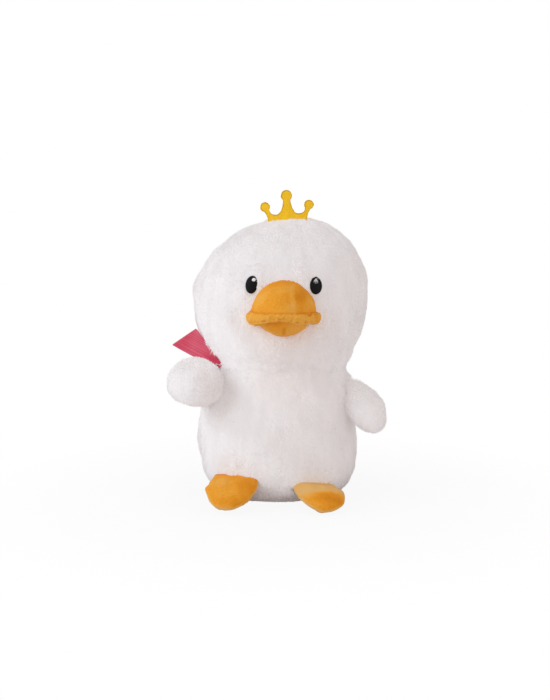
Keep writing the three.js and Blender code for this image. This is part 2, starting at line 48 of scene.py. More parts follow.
NECK = 130.0
TORSO = dict(x=0.0, z=44.0, half_width=76.5, half_depth=66.0, up=146.81, down=51.0,
             power_up=2.0, power_down=3.0, lean=0.0)
HEAD = dict(x=3.2, z=197.0, half_width=83.0, half_depth=70.0, up=72.5, down=106.96,
            power_up=2.15, power_down=2.0, lean=5.5)
FACE_TURN = math.radians(2.7)
EYES = dict(spacing=59.5, height=209.0, width=12.6, tall=16.8, proud=2.4, tilt=math.radians(7),
            drop={-1: 0.0, 1: 0.9}, trim={-1: 0.5, 1: 0.2}, bare=0.6, full_pile=7.0)
GLINTS = {-1: dict(inward=1.9, rise=4.5, half=(1.65, 1.7)), 1: dict(inward=1.0, rise=3.8, half=(2.6, 2.9))}
MOUTH = 179.5
BILL_ROOT = 62.0
UPPER = dict(half_width=30.5, height=34.5, length=39.0)
LOWER = dict(half_width=24.5, height=17.0, length=31.0)
LIP = dict(inset=1.0, wrap=math.radians(8), end=5.6)
CROWN = dict(x=10.4, y=-15.0, z=268.6, tilt=math.radians(3.2), thickness=2.6, half_base=18.5,
             valley=(11.2, 6.9), hollow=0.85,
             middle=dict(x=0.0, y=24.4, radius=5.4, neck=3.6),
             side=dict(x=21.2, y=14.6, radius=4.7, neck=2.7))
WING = dict(length=52.0, slim=0.08, fullest=0.68, nose=4.0, gap=0.5, seam_half=15.0,
            seam_turn=math.radians(70), height=105.0, blunt=0.55, least=0.3, at=(0.0, 0.35, 0.6, 1.0))
WING_POSES = dict(
    wing_left=dict(side=1, tip=(31, -22, -40), bend=0.29, half_width=18.5, half_thickness=15.0,
                   sag=(3.0, 6.25, 5.3, 2.0), wider=(-3.1, -3.25, -1.7, -1.3), short=1.3),
    wing_right=dict(side=-1, tip=(8, -50, 16), bend=0.25, half_width=21.2, half_thickness=24.5,
                    sag=(0.0, -0.3, -1.2, -1.6), wider=(0.0, -0.3, -0.2, 0.2), short=0.0))
FOOT = dict(half_width=24.5, length=48.0, widest=18.0, top=8.5, sole=4.5, rim=1.2)
FOOT_POSES = dict(foot_left=dict(x=35.0, z=20.0, toe=2.0, turn=math.radians(9)),
                  foot_right=dict(x=-40.0, z=25.5, toe=3.5, turn=math.radians(-9)))
SEAT = 0.3
SKIN_SIDES = 168
TAG = dict(hole=(-58.541, -30.644, 131.0), thickness=0.7, opening=1.1,
           axes=((0.950963, -0.309279, -0.003973), (0.308264, 0.94874, -0.069756),
                 (0.025344, 0.065111, 0.997556)),
           corners=((-47.6, 17.0), (-21.8, 34.0), (6.8, -0.8), (1.0, -5.0)), loop=5.68, thread=0.13)
TAIL = dict(height=34.0, length=24.0, radius=13.0, rise=math.radians(32), flat=0.8, blunt=0.8,
            root=10.0)

# Swellings, hollows and flat places of the plush, which the solids lack

SHOULDER = dict(place=(70.0, -18.0, 115.5), radius=(12.0, 18.0, 6.5), swell=3.4)
TUCK = dict(z=148.0, spread=10.0, share=0.036)
TOP_SWELL = dict(x=36.0, spread=18.0, height=1.8)
NECK_SWELL = dict(z=137.0, spread=6.0, height=2.6)
FLATTENED = 4.0

# Pile: strands to a square millimetre, their lowest height, and their height and lean on each form

FUR_DENSITY = 1.5
FUR_FLOOR = 0.4
BODY_PILE, WING_PILE, TAIL_PILE = (2.9, 4.8), (2.8, 4.2), (3.0, 3.0)
CLUMP = 5.0
DOWNWARD, SWIRLED, LOOSE = 0.8, 0.22, 0.25
ROOT_DEPTH, ROOT_RADIUS, MIDDLE_RADIUS = 0.7, 0.38, 0.3


# Small vector tools on arrays of points

def unit(v):
    v = np.asarray(v, float)
    return v / np.maximum(np.linalg.norm(v, axis=-1, keepdims=True), 1e-12)


def smoothstep(x, low, high):
    t = np.clip((np.asarray(x, float) - low) / (high - low), 0, 1)
    return t * t * (3 - 2 * t)


def turned_z(points, angle):
    c, s = math.cos(angle), math.sin(angle)
    return np.stack([points[..., 0] * c - points[..., 1] * s,
                     points[..., 0] * s + points[..., 1] * c, points[..., 2]], -1)


def full_turn(count):
    return np.linspace(0, 2 * np.pi, count, endpoint=False)


def bell(away, width):
    """1 at no distance, falling to nearly 0 at twice the width."""
    return np.exp(-(away / width) ** 2)


def blob(points, middle, radii, power=2):
    """The same in space, with a width along each axis; a higher power gives a flatter top."""
    return np.exp(-(((points - middle) / radii) ** power).sum(1))


def beside(points, start, end):
    """Where along a line each point is nearest to it, from 0 to 1, and how far away."""
    start, line = np.asarray(start, float), np.subtract(end, start)
    share = np.clip((points - start) @ line / (line @ line), 0, 1)
    return share, np.linalg.norm(points - start - share[:, None] * line, axis=1)


def upright(flat, depth):
    """Points (across, up) stood upright at a depth."""
    return np.c_[flat[:, 0], np.full(len(flat), depth), flat[:, 1]]


class Waves:
    """Smooth seeded noise from a sum of sines, about -1 to 1, with features of about one size."""

    def __init__(self, size):
        count = 10
        ways = unit(RANDOM.normal(size=(count, 3)))
        lengths = size * RANDOM.uniform(0.7, 1.6, count)
        self.ways = ways * (2 * np.pi / lengths)[:, None]
        self.shifts = RANDOM.uniform(0, 2 * np.pi, count)

    def __call__(self, points):
        return np.sin(points @ self.ways.T + self.shifts).sum(-1) * (1.4 / math.sqrt(len(self.ways)))


# Egg forms, as in the solids

def girth(form, z):
    z = np.asarray(z, float)
    above = z > form["z"]
    power = np.where(above, form["power_up"], form["power_down"])
    reach = np.where(above, form["up"], form["down"])
    part = np.clip(np.abs(z - form["z"]) / reach, 0, 1)
    return form["half_width"] * (1 - part ** power) ** (1 / power)


def egg_point(form, z, turn):
    """Point at a height and a turn from straight ahead, and the outward direction there."""
    wide = girth(form, z)
    deep = wide * form["half_depth"] / form["half_width"]
    slope = (girth(form, z + 0.5) - girth(form, z - 0.5))
    up = max(0.0, z - form["z"]) / form["up"]
    point = np.array([wide * math.sin(turn), -deep * math.cos(turn), z])
    normal = unit(np.array([point[0] / wide ** 2, point[1] / deep ** 2, 0.0]))
    normal[2] = -slope
    point[0] += form["x"] + form["lean"] * up * up
    return point, unit(normal)


# Meshes from arrays

def placed(name, data):
    piece = bpy.data.objects.new(name, data)
    bpy.context.scene.collection.objects.link(piece)
    return piece


def make_piece(name, points, faces, material, body, smooth=True):
    """Object from points in millimetres and a list of face arrays, riding on a body."""
    mesh = bpy.data.meshes.new(name)
    points = np.asarray(points, np.float32) * MM
    faces = [np.asarray(f, np.int32) for f in faces if len(f)]
    corners = np.concatenate([f.ravel() for f in faces])
    sizes = np.concatenate([np.full(len(f), f.shape[1], np.int32) for f in faces])
    starts = np.concatenate([[0], np.cumsum(sizes)[:-1]]).astype(np.int32)
    mesh.vertices.add(len(points))
    mesh.vertices.foreach_set("co", points.ravel())
    mesh.loops.add(len(corners))
    mesh.loops.foreach_set("vertex_index", corners)
    mesh.polygons.add(len(starts))
    mesh.polygons.foreach_set("loop_start", starts)
    mesh.update(calc_edges=True)
    mesh.polygons.foreach_set("use_smooth", np.full(len(starts), smooth))
    mesh.materials.append(material)
    piece = placed(name, mesh)
    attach(piece, body)
    return piece


def net_faces(rows, sides, ring=False):
    """Quads between rows of points that close round; with ring, the last row meets the first."""
    row, side = np.meshgrid(np.arange(rows - (not ring)), np.arange(sides), indexing="ij")
    below, after = (row + 1) % rows, (side + 1) % sides
    return np.stack([row * sides + side, row * sides + after,
                     below * sides + after, below * sides + side], -1).reshape(-1, 4)


def skin_faces(rows, sides):
    """Faces of rows of points, closed by fans to the two points that follow them."""
    here = np.arange(sides)
    after = (here + 1) % sides
    first, top = rows * sides, (rows - 1) * sides
    return [net_faces(rows, sides), np.stack([np.full(sides, first), after, here], -1),
            np.stack([np.full(sides, first + 1), top + here, top + after], -1)]


def set_values(piece, name, values):
    """Numbers held by the piece's points, which its material reads."""
    layer = piece.data.attributes.new(name, "FLOAT", "POINT")
    layer.data.foreach_set("value", np.asarray(values, np.float32))


def tube(line, across, up, wide, tall, sides):
    """Oval rings round the points of a line, so wide and tall in two directions there."""
    turn = full_turn(sides)
    return (line[:, None]
            + np.reshape(across, (-1, 1, 3)) * (np.reshape(wide, (-1, 1)) * np.cos(turn))[..., None]
            + np.reshape(up, (-1, 1, 3)) * (np.reshape(tall, (-1, 1)) * np.sin(turn))[..., None])


class Skin:
    """Closed surface through rings of points, which fur can be set on."""

    def __init__(self, rings, first, last):
        rings = np.asarray(rings, float)
        self.points = np.concatenate([rings.reshape(-1, 3), [first], [last]])
        self.faces = skin_faces(*rings.shape[:2])
        quads, low, high = self.faces
        self.triangles = np.concatenate([quads[:, [0, 1, 2]], quads[:, [0, 2, 3]], low, high])
        a, b, c = (self.points[self.triangles[:, i]] for i in range(3))
        across = np.cross(b - a, c - a)
        if (a * across).sum() < 0:
            self.faces = [f[:, ::-1] for f in self.faces]
            self.triangles = self.triangles[:, ::-1]
            across = -across
        self.areas = np.linalg.norm(across, axis=1) / 2
        self.normals = np.zeros_like(self.points)
        for i in range(3):
            np.add.at(self.normals, self.triangles[:, i], across)
        self.normals = unit(self.normals)

    def lift(self, amount):
        """Moves every point along its outward direction."""
        self.points = self.points + self.normals * np.asarray(amount)[..., None]

    def spots(self):
        """Random points on the surface for the strands, and the directions there."""
        count = int(self.areas.sum() * FUR_DENSITY)
        chosen = RANDOM.choice(len(self.areas), count, p=self.areas / self.areas.sum())
        share = RANDOM.uniform(size=(count, 2))
        share = np.where(share.sum(1, keepdims=True) > 1, 1 - share, share)
        weights = np.stack([1 - share.sum(1), share[:, 0], share[:, 1]], -1)[..., None]
        corners = self.triangles[chosen]
        place = (self.points[corners] * weights).sum(1)
        return place, unit((self.normals[corners] * weights).sum(1))


def lathe(form, heights, sides):
    """Rings of an egg form at the given heights."""
    wide = girth(form, heights)
    deep = wide * form["half_depth"] / form["half_width"]
    up = np.maximum(0, heights - form["z"]) / form["up"]
    middle = np.c_[form["x"] + form["lean"] * up * up, 0 * heights, heights]
    return tube(middle, AHEAD, LEFT, deep, wide, sides)


# Materials

def add_node(tree, kind, inputs=None, **settings):
    """New node with its settings; each input is a number, a colour or a socket to link."""
    made = tree.nodes.new("ShaderNode" + kind)
    for key, value in settings.items():
        setattr(made, key, value)
    for key, value in (inputs or {}).items():
        if isinstance(value, bpy.types.NodeSocket):
            tree.links.new(value, made.inputs[key])
        else:
            made.inputs[key].default_value = value
    return made


def maths(tree, operation, *values):
    return add_node(tree, "Math", dict(enumerate(values)), operation=operation).outputs[0]


def material(name, roughness, sheen=0.0, specular=0.5):
    made = bpy.data.materials.new(name)
    made.use_nodes = True
    shader = made.node_tree.nodes["Principled BSDF"]
    shader.inputs["Roughness"].default_value = roughness
    shader.inputs["Sheen Weight"].default_value = sheen
    shader.inputs["Specular IOR Level"].default_value = specular
    return made, made.node_tree, shader


def noise(tree, scale, detail=2.0, rough=0.5, stretch=None):
    """Noise factor in object coordinates, with features per metre given by the scale."""
    place = add_node(tree, "TexCoord").outputs["Object"]
    if stretch is not None:
        mapped = add_node(tree, "Mapping", {"Vector": place, "Scale": stretch})
        place = mapped.outputs["Vector"]
    return add_node(tree, "TexNoise", {"Vector": place, "Scale": scale, "Detail": detail,
                                       "Roughness": rough}).outputs["Fac"]


def ramp(tree, factor, stops):
    """Colour ramp through (position, colour) stops."""
    made = add_node(tree, "ValToRGB", {"Fac": factor})
    elements = made.color_ramp.elements
    while len(elements) < len(stops):
        elements.new(0.5)
    for element, (position, colour) in zip(elements, stops):
        element.position = position
        element.color = (*colour, 1)
    return made.outputs["Color"]


def coat(tree, shader, factor, stops, height=None, depth=0.0):
    """Gives the shader a colour by a ramp over the factor, and a bump so many metres deep."""
    tree.links.new(ramp(tree, factor, stops), shader.inputs["Base Color"])
    if height is not None:
        bump = add_node(tree, "Bump", {"Height": height, "Distance": depth, "Strength": 1.0})
        tree.links.new(bump.outputs["Normal"], shader.inputs["Normal"])


def srgb(red, green, blue):
    def linear(value):
        value /= 255
        return value / 12.92 if value <= 0.04045 else ((value + 0.055) / 1.055) ** 2.4
    return tuple(linear(v) for v in (red, green, blue))


def plush_material():
    made, tree, shader = material("white_plush_pile", 0.9, 0.15, 0.2)
    streaks = noise(tree, 110, 3, 0.5, (1.0, 1.0, 0.3))
    coat(tree, shader, streaks, [(0.3, srgb(247, 246, 246)), (0.65, srgb(254, 253, 253))],
         noise(tree, 900, 3), 0.0006)
    return made


def attribute(tree, name):
    return add_node(tree, "Attribute", attribute_name=name).outputs["Fac"]


def blended(tree, first, second, share):
    """first plus share times second."""
    return maths(tree, "MULTIPLY_ADD", second, share, first)


def velour_material(name, scale, grain, depth, pale):
    """Brushed pile, darker or lighter by the value each point of the piece holds: how its pile lies, plus
    painted shade in creases and dents.
    """
    made, tree, shader = material(name, 0.85, 0.2, 0.1)
    shader.inputs["Sheen Tint"].default_value = (*srgb(255, 200, 120), 1)
    nap_and_shade = blended(tree, attribute(tree, "nap_and_shade"), noise(tree, 330, 3, 0.6), 0.2)
    nap_and_shade = blended(tree, nap_and_shade, noise(tree, scale, 3, 0.7), grain)
    coat(tree, shader, nap_and_shade, [(0.26, srgb(182, 100, 12)), (0.55, srgb(225, 137, 25)),
                             (0.80, srgb(244, 161, 40)), (0.91, srgb(248, 177, 66)), (1.0, pale)],
         noise(tree, 1500, 3), depth)
    return made


def simple_material(name, low, high, scale, roughness, sheen=0.0, specular=0.4):
    made, tree, shader = material(name, roughness, sheen, specular)
    coat(tree, shader, noise(tree, scale, 3), [(0.3, low), (0.7, high)], noise(tree, scale * 3, 3), 0.0003)
    return made


def glint_material():
    """White stitches over black ones, as white as each point's shine."""
    made, tree, shader = material("glint_satin", 0.5, 0.0, 0.2)
    value = blended(tree, attribute(tree, "shine"), noise(tree, 1500, 2), 0.1)
    coat(tree, shader, value, [(0.08, srgb(10, 10, 12)), (0.5, srgb(150, 150, 156)),
                               (0.95, srgb(252, 252, 254))], noise(tree, 2400, 2), 0.0002)
    return made


def card_material():
    """Coated card with faint lines along it, deeper in colour towards its far end and its hole."""
    made, tree, shader = material("red_card", 0.32, 0.0, 0.5)
    lines = add_node(tree, "TexNoise", {"W": attribute(tree, "across"), "Scale": 1.1, "Detail": 3.0},
                     noise_dimensions="1D")
    ends = maths(tree, "PINGPONG", attribute(tree, "along"), 24.0)
    depth = add_node(tree, "MapRange", {"Value": ends, "From Min": 4.0, "From Max": 20.0},
                     interpolation_type="SMOOTHSTEP")
    value = blended(tree, lines.outputs["Fac"], depth.outputs["Result"], 0.2)
    value = blended(tree, value, noise(tree, 60, 2), 0.25)
    coat(tree, shader, value, [(0.42, srgb(192, 32, 66)), (0.72, srgb(212, 62, 92)),
                               (0.92, srgb(224, 104, 126))])
    return made


PLUSH = plush_material()
VELOUR = velour_material("orange_velour_pile", 1000, 0.6, 0.0006, srgb(248, 184, 86))
ROLL_VELOUR = velour_material("orange_velour_roll", 760, 0.75, 0.0009, srgb(252, 186, 78))
FOOT_VELOUR = velour_material("orange_velour_foot", 1000, 0.5, 0.0006, srgb(238, 190, 116))
BLACK = simple_material("black_satin", srgb(7, 7, 9), srgb(15, 15, 18), 900, 0.5, specular=0.12)
GLINT = glint_material()
# Its white is tinted pink and a little grey: painted reflection of the red card on the thread.
WHITE_THREAD = simple_material("white_satin", srgb(228, 220, 222), srgb(246, 240, 242), 900, 0.5)
FELT = simple_material("yellow_felt_cloth", srgb(255, 197, 4), srgb(255, 214, 18), 500, 0.9, 1.0,
                       specular=0.75)
FELT.node_tree.nodes["Principled BSDF"].inputs["Sheen Tint"].default_value = (*srgb(255, 196, 40), 1)
CARD = card_material()


# Fur

def clump_pull(place, size):
    """Way from each point to the nearest of a scatter of clump middles."""
    cell = np.floor(place / size).astype(np.int64)
    best = np.full(len(place), np.inf)
    pull = np.zeros_like(place)
    for step in np.ndindex(3, 3, 3):
        near = cell + np.array(step) - 1
        key = (near[:, 0] * 73856093) ^ (near[:, 1] * 19349663) ^ (near[:, 2] * 83492791)
        jitter = np.stack([(key * factor % 1009) / 1009.0 for factor in (7919, 6007, 4513)], -1)
        away = (near + jitter) * size - place
        distance = (away ** 2).sum(1)
        closer = distance < best
        best = np.where(closer, distance, best)
        pull[closer] = away[closer]
    return pull


def across_surface(way, normal):
    return way - (way * normal).sum(-1, keepdims=True) * normal


def strand_map(piece, count):
    """Bake map that gives every strand its own small cell."""
    across = math.ceil(math.sqrt(count))
    cell = np.arange(count)
    low = np.stack([cell % across, cell // across], -1)[:, None, None, :]
    column = np.arange(3)[:, None]
    sides = np.stack([(column + [0, 1, 1, 0]) / 3, np.tile([0, 0, 0.5, 0.5], (3, 1))], -1)
    tips = np.stack([(column + [0, 1, 0.5]) / 3, np.tile([0.5, 0.5, 1], (3, 1))], -1)
    margin = 0.1
    corners = [((low + margin + (1 - 2 * margin) * part) / across).reshape(-1, 2) for part in (sides, tips)]
    layer = piece.data.uv_layers.new(name="OFBake")
    layer.data.foreach_set("uv", np.concatenate(corners).astype(np.float32).ravel())


def plush_piece(name, skin, body):
    return make_piece(name, skin.points, skin.faces, PLUSH, body)


def set_fur(name, skin, body, pile, keep, parts, hang=None, tufts=None):
    """Tapered bent strands all over a skin, in pieces cut by the turn round the toy.

    keep gives the share of the height at each place, hang how far the strands droop there, and
    tufts an extra reach there.
    """
    height, lean = pile
    place, normal = skin.spots()
    share = keep(place, normal)
    kept = share > 0.05
    place, normal, share = place[kept], normal[kept], share[kept]
    count = len(place)
    down = across_surface(-np.array(UP), normal)
    swirl = across_surface(np.stack([wave(place) for wave in SWIRL], -1), normal)
    loose = across_surface(RANDOM.normal(size=(count, 3)), normal)
    droop = np.ones(count) if hang is None else hang(place)
    way = DOWNWARD * droop[:, None] * down + SWIRLED * swirl + LOOSE * loose
    pull = across_surface(clump_pull(place, CLUMP), normal)
    rise = height * share * RANDOM.uniform(0.75, 1.1, count)
    if tufts is not None:
        rise = rise * (1 + tufts(place))
    out = (rise * (1 + 0.10 * TUFT(place)))[:, None] * normal
    along = (lean * (0.55 + 0.45 * share))[:, None] * way
    # The lower half of a strand stands steeper than the upper half
    middle = place + 0.66 * out + 0.36 * along + 0.08 * pull
    tip = place + out + along + 0.18 * pull
    middle[:, 2] = np.maximum(middle[:, 2], FUR_FLOOR)
    tip[:, 2] = np.maximum(tip[:, 2], FUR_FLOOR)
    root = place - ROOT_DEPTH * normal
    across = unit(np.cross(tip - root, normal + 0.01 * loose))
    inward = unit(np.cross(tip - root, across))
    thick = RANDOM.uniform(0.8, 1.2, count)[:, None]
    corners = []
    for centre, radius in ((root, ROOT_RADIUS), (middle, MIDDLE_RADIUS)):
        for wide, deep in ((0.87, -0.3), (0.0, 0.7), (-0.87, -0.3)):
            corners.append(centre + (wide * across + deep * inward) * radius * thick)
    points = np.stack([*corners, tip], 1)
    quads = np.array([[0, 1, 4, 3], [1, 2, 5, 4], [2, 0, 3, 5]])
    ends = np.array([[3, 4, 6], [4, 5, 6], [5, 3, 6]])
    order = np.argsort(np.arctan2(place[:, 0], -place[:, 1]), kind="stable")
    for number, chosen in enumerate(np.array_split(order, parts), 1):
        base = 7 * np.arange(len(chosen))[:, None, None]
        faces = [(quads + base).reshape(-1, 4), (ends + base).reshape(-1, 3)]
        piece = make_piece(f"{name}_{number}", points[chosen].reshape(-1, 3), faces, PLUSH, body,
                           smooth=False)
        piece.visible_shadow = False
        piece.visible_diffuse = False
        strand_map(piece, len(chosen))


SWIRL = [Waves(45.0) for _ in range(3)]
TUFT = Waves(9.0)
LUMPS = Waves(38.0)
STREAKS = Waves(11.0)
NAP = Waves(22.0)
PUCKER = Waves(5.0)
WRINKLE = Waves(9.0)
CRUMPLE = Waves(2.4)


# Head and torso

def face_frame(points):
    """Points of the face's own frame in the toy's frame."""
    points = turned_z(np.asarray(points, float), FACE_TURN)
    points[..., 0] += HEAD["x"]
    return points


def to_face(points):
    points = np.array(points, float)
    points[..., 0] -= HEAD["x"]
    return turned_z(points, -FACE_TURN)


def eye_frame(side):
    """Middle of an eye and its directions to the right, in, and up."""
    wide = float(girth(HEAD, EYES["height"]))
    turn = math.asin(EYES["spacing"] / 2 / wide) * side
    centred = dict(HEAD, x=0.0, lean=0.0)
    point, normal = egg_point(centred, EYES["height"], turn)
    back = -normal
    right = unit(np.cross(back, UP))
    up = unit(np.cross(right, back))
    c, s = math.cos(EYES["tilt"]), math.sin(EYES["tilt"])
    right, up = c * right - s * up, s * right + c * up
    point = point - EYES["drop"][side] * up
    return face_frame(point), *(turned_z(v, FACE_TURN) for v in (right, back, up))


EYE_FRAMES = {side: eye_frame(side) for side in (-1, 1)}


def eye_distance(place):
    """Distance outside the nearer eye's edge, about, negative inside."""
    nearest, mean_radius, around = np.full(len(place), np.inf), 7.0, 40
    for centre, right, _, up in EYE_FRAMES.values():
        away = place - centre
        oval = np.hypot(away @ right / (EYES["width"] / 2), away @ up / (EYES["tall"] / 2))
        far = (oval - 1) * mean_radius
        nearest = np.minimum(nearest, np.where(np.abs(away).max(1) < around, far, np.inf))
    return nearest


def in_bill(place, shrink=0.0):
    """How deep points are inside the bill: above 0 inside."""
    p = to_face(place)
    p[:, 1] += BILL_ROOT
    p[:, 2] -= MOUTH
    form = [np.where(p[:, 2] > 0, UPPER[k], LOWER[k]) - shrink for k in ("half_width", "length", "height")]
    ball = 1 - np.sqrt((p[:, 0] / form[0]) ** 2 + (p[:, 1] / form[1]) ** 2 + (p[:, 2] / form[2]) ** 2)
    roll = 1 - np.hypot(np.hypot(p[:, 0], p[:, 1]) - UPPER["half_width"], p[:, 2]) / LIP["end"]
    return np.maximum(ball, np.where(p[:, 1] < 0, roll * 0.2, -1))


def head_keep(place, normal):
    far = eye_distance(place)
    share = np.where(far < EYES["bare"], 0, 0.3 + 0.7 * smoothstep(far, EYES["bare"], EYES["full_pile"]))
    tip = place + 2.6 * normal
    share = np.where((in_bill(place) > -0.02) | (in_bill(tip, 0.6) > 0.0), 0, share)
    ahead = CROWN["y"] - place[:, 1]
    crown_foot = (np.abs(place[:, 0] - CROWN["x"]) < CROWN["half_base"] + 1) & (ahead > 0) & (ahead < 6)
    share = np.where(crown_foot & (place[:, 2] > HEAD["z"]), 0.4 * share, share)
    share = share * (1 - 0.75 * throat_crease(place))
    return np.where(place[:, 2] < NECK + 0.1, 0, share)


def head_hang(place):
    """Strands just above the neck seam hang over it unevenly."""
    return 1 + (0.35 + 0.45 * TUFT(place)) * smoothstep(place[:, 2], NECK + 8, NECK + 2)


def throat_crease(place):
    """Share of a short faint crease in the pile of the throat."""
    line = NECK + 6.6 + 0.7 * np.sin(place[:, 0] / 5)
    wide = smoothstep(place[:, 0], -26, -18) * smoothstep(place[:, 0], 16, 8)
    return wide * (place[:, 1] < 0) * bell(place[:, 2] - line, 1.2)


def head_tufts(place):
    """Longer strands beside the swing tag, where they lap over its edge."""
    hole, lean = np.array(TAG["hole"]), np.array(TAG["axes"][1])
    low, high = (hole + np.array(corner) @ np.array([TAG["axes"][0], TAG["axes"][2]])
                 for corner in (TAG["corners"][2], TAG["corners"][1]))
    _, away = beside(place, low, high)
    ahead = (hole - place) @ lean
    return bell(away, 5.0) * (ahead > 0.3) * np.clip(0.35 + 0.75 * TUFT(place), 0, 1.3)


def foot_frame(pose):
    wide = float(girth(TORSO, pose["z"]))
    point, _ = egg_point(TORSO, pose["z"], math.asin(pose["x"] / wide))
    slope = math.asin((pose["z"] - pose["toe"] - 1.5 * FOOT["rim"]) / FOOT["length"])
    c, s = math.cos(slope), math.sin(slope)
    axes = np.array([[1, 0, 0], [0, c, s], [0, -s, c]], float)
    return point - [0, SEAT, 0], turned_z(axes, pose["turn"])


FOOT_FRAMES = {name: foot_frame(pose) for name, pose in FOOT_POSES.items()}


def in_foot(place):
    inside = np.zeros(len(place), bool)
    for origin, axes in FOOT_FRAMES.values():
        p = (place - origin) @ axes.T
        inside |= ((np.abs(p[:, 0]) < FOOT["half_width"]) & (p[:, 1] < 6) & (p[:, 1] > -FOOT["length"])
                   & (p[:, 2] > -FOOT["sole"]) & (p[:, 2] < 0.2))
    return inside


def torso_keep(place, normal):
    share = np.where(place[:, 2] > NECK - 0.3, 0.0, 1.0)
    share *= smoothstep(place[:, 2], 0.8, 1.4)
    return np.where(in_foot(place + 2.0 * normal) | in_foot(place), 0, share)


def torso_hang(place):
    """Strands under the neck seam stand out and fill the hollow there."""
    under = smoothstep(place[:, 2] + 2.0 * TUFT(place), NECK - 9, NECK - 1)
    return 1 - 1.1 * np.maximum(under, shoulder(place))


def neck_tufts(place):
    """Longer strands where the head overhangs the torso."""
    under = smoothstep(place[:, 2], NECK - 9, NECK - 1) * smoothstep(place[:, 0], 10, 50)
    return 0.9 * np.maximum(under, shoulder(place))


def plush_waves(points):
    return 0.45 * LUMPS(points) + 0.3 * STREAKS(points * [1, 1, 0.35])


def head_skin():
    heights = HEAD["z"] + np.concatenate([
        -HEAD["down"] * np.sin(np.linspace(math.asin((HEAD["z"] - NECK) / HEAD["down"]), 0, 40))[:-1],
        HEAD["up"] * np.sin(np.linspace(0, np.pi / 2, 60))[:-1]])
    rings = lathe(HEAD, heights, SKIN_SIDES)
    top = [HEAD["x"] + HEAD["lean"], 0, HEAD["z"] + HEAD["up"]]
    low = smoothstep(rings[..., 2], NECK + 13, NECK)[..., None] * [0.85, 0.85, 0]
    neck = lathe(TORSO, np.array([NECK]), SKIN_SIDES)[0]
    rings = rings + (neck * [1.055, 1.03, 0] - rings) * low
    tuck = TUCK["share"] * bell(rings[..., 2] - TUCK["z"], TUCK["spread"]) * smoothstep(rings[..., 0], 10, 50)
    rings[..., 0] -= (rings[..., 0] - HEAD["x"]) * tuck
    skin = Skin(rings, [HEAD["x"], 0, NECK], top)
    x, y, z = skin.points.T
    swell = TOP_SWELL["height"] * bell(x - TOP_SWELL["x"], TOP_SWELL["spread"]) * smoothstep(z, 240, 262)
    swell += NECK_SWELL["height"] * bell(z - NECK_SWELL["z"], NECK_SWELL["spread"]) * smoothstep(x, 10, 50)
    flat = FLATTENED * smoothstep(z, 206, 224) * smoothstep(-x, 4, 26) * (0.4 + 0.6 * bell(y, 45))
    skin.lift(plush_waves(skin.points) + 0.25 + swell - flat - 1.5 * throat_crease(skin.points))
    piece = plush_piece("head_skin", skin, "torso")
    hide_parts("head_cover", "head_stuffing")
    set_fur("head_fur", skin, "torso", BODY_PILE, head_keep, 6, hang=head_hang, tufts=head_tufts)


def shoulder(place):
    """Share of a soft swelling between the neck and the top of the hanging wing."""
    return blob(place, SHOULDER["place"], SHOULDER["radius"])


def torso_skin():
    heights = np.concatenate([[1.0], TORSO["z"] - TORSO["down"] * np.sin(
        np.linspace(math.asin((TORSO["z"] - 2.0) / TORSO["down"]), 0, 34))[:-1],
        np.linspace(TORSO["z"], NECK, 44)])
    rings = lathe(TORSO, heights, SKIN_SIDES)
    rings[0, :, :2] *= 0.985
    skin = Skin(rings, [0, 0, 1.0], [0, 0, NECK])
    x, _, z = skin.points.T
    flat = FLATTENED * smoothstep(z, 56, 30) * smoothstep(-x, 44, 66)
    skin.lift(plush_waves(skin.points) * smoothstep(z, 2, 20) + 0.2
              + SHOULDER["swell"] * shoulder(skin.points) - flat)
    skin.points[:, 2] = np.maximum(skin.points[:, 2], 0.5)
    piece = plush_piece("torso_skin", skin, "torso")
    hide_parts("body_cover", "body_stuffing")
    set_fur("torso_fur", skin, "torso", BODY_PILE, torso_keep, 5, hang=torso_hang, tufts=neck_tufts)


def base_cloth():
    """Cloth disc under the torso, pressed flat in the middle, with a turned edge."""
    sides, rows = 120, 18
    half_width, half_depth, curled = 52.1, 44.7, 0.93
    profile = [(part * 0.985, 1.1 * max(0.0, (part - curled) / (1 - curled)) ** 2)
               for part in np.linspace(0.04, 1, rows)]
    profile += [(0.998, 1.7), (0.99, 2.3), (0.95, 2.5), (0.5, 2.5)]
    part, z = np.array(profile).T
    rings = tube(np.outer(z, UP), AHEAD, LEFT, half_depth * part, half_width * part, sides)
    skin = Skin(rings, [0, 0, 0], [0, 0, 2.5])
    piece = plush_piece("base_cloth", skin, "torso")
    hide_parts("base_panel", "pellet_bag")


head_skin()
torso_skin()
base_cloth()


# Wings

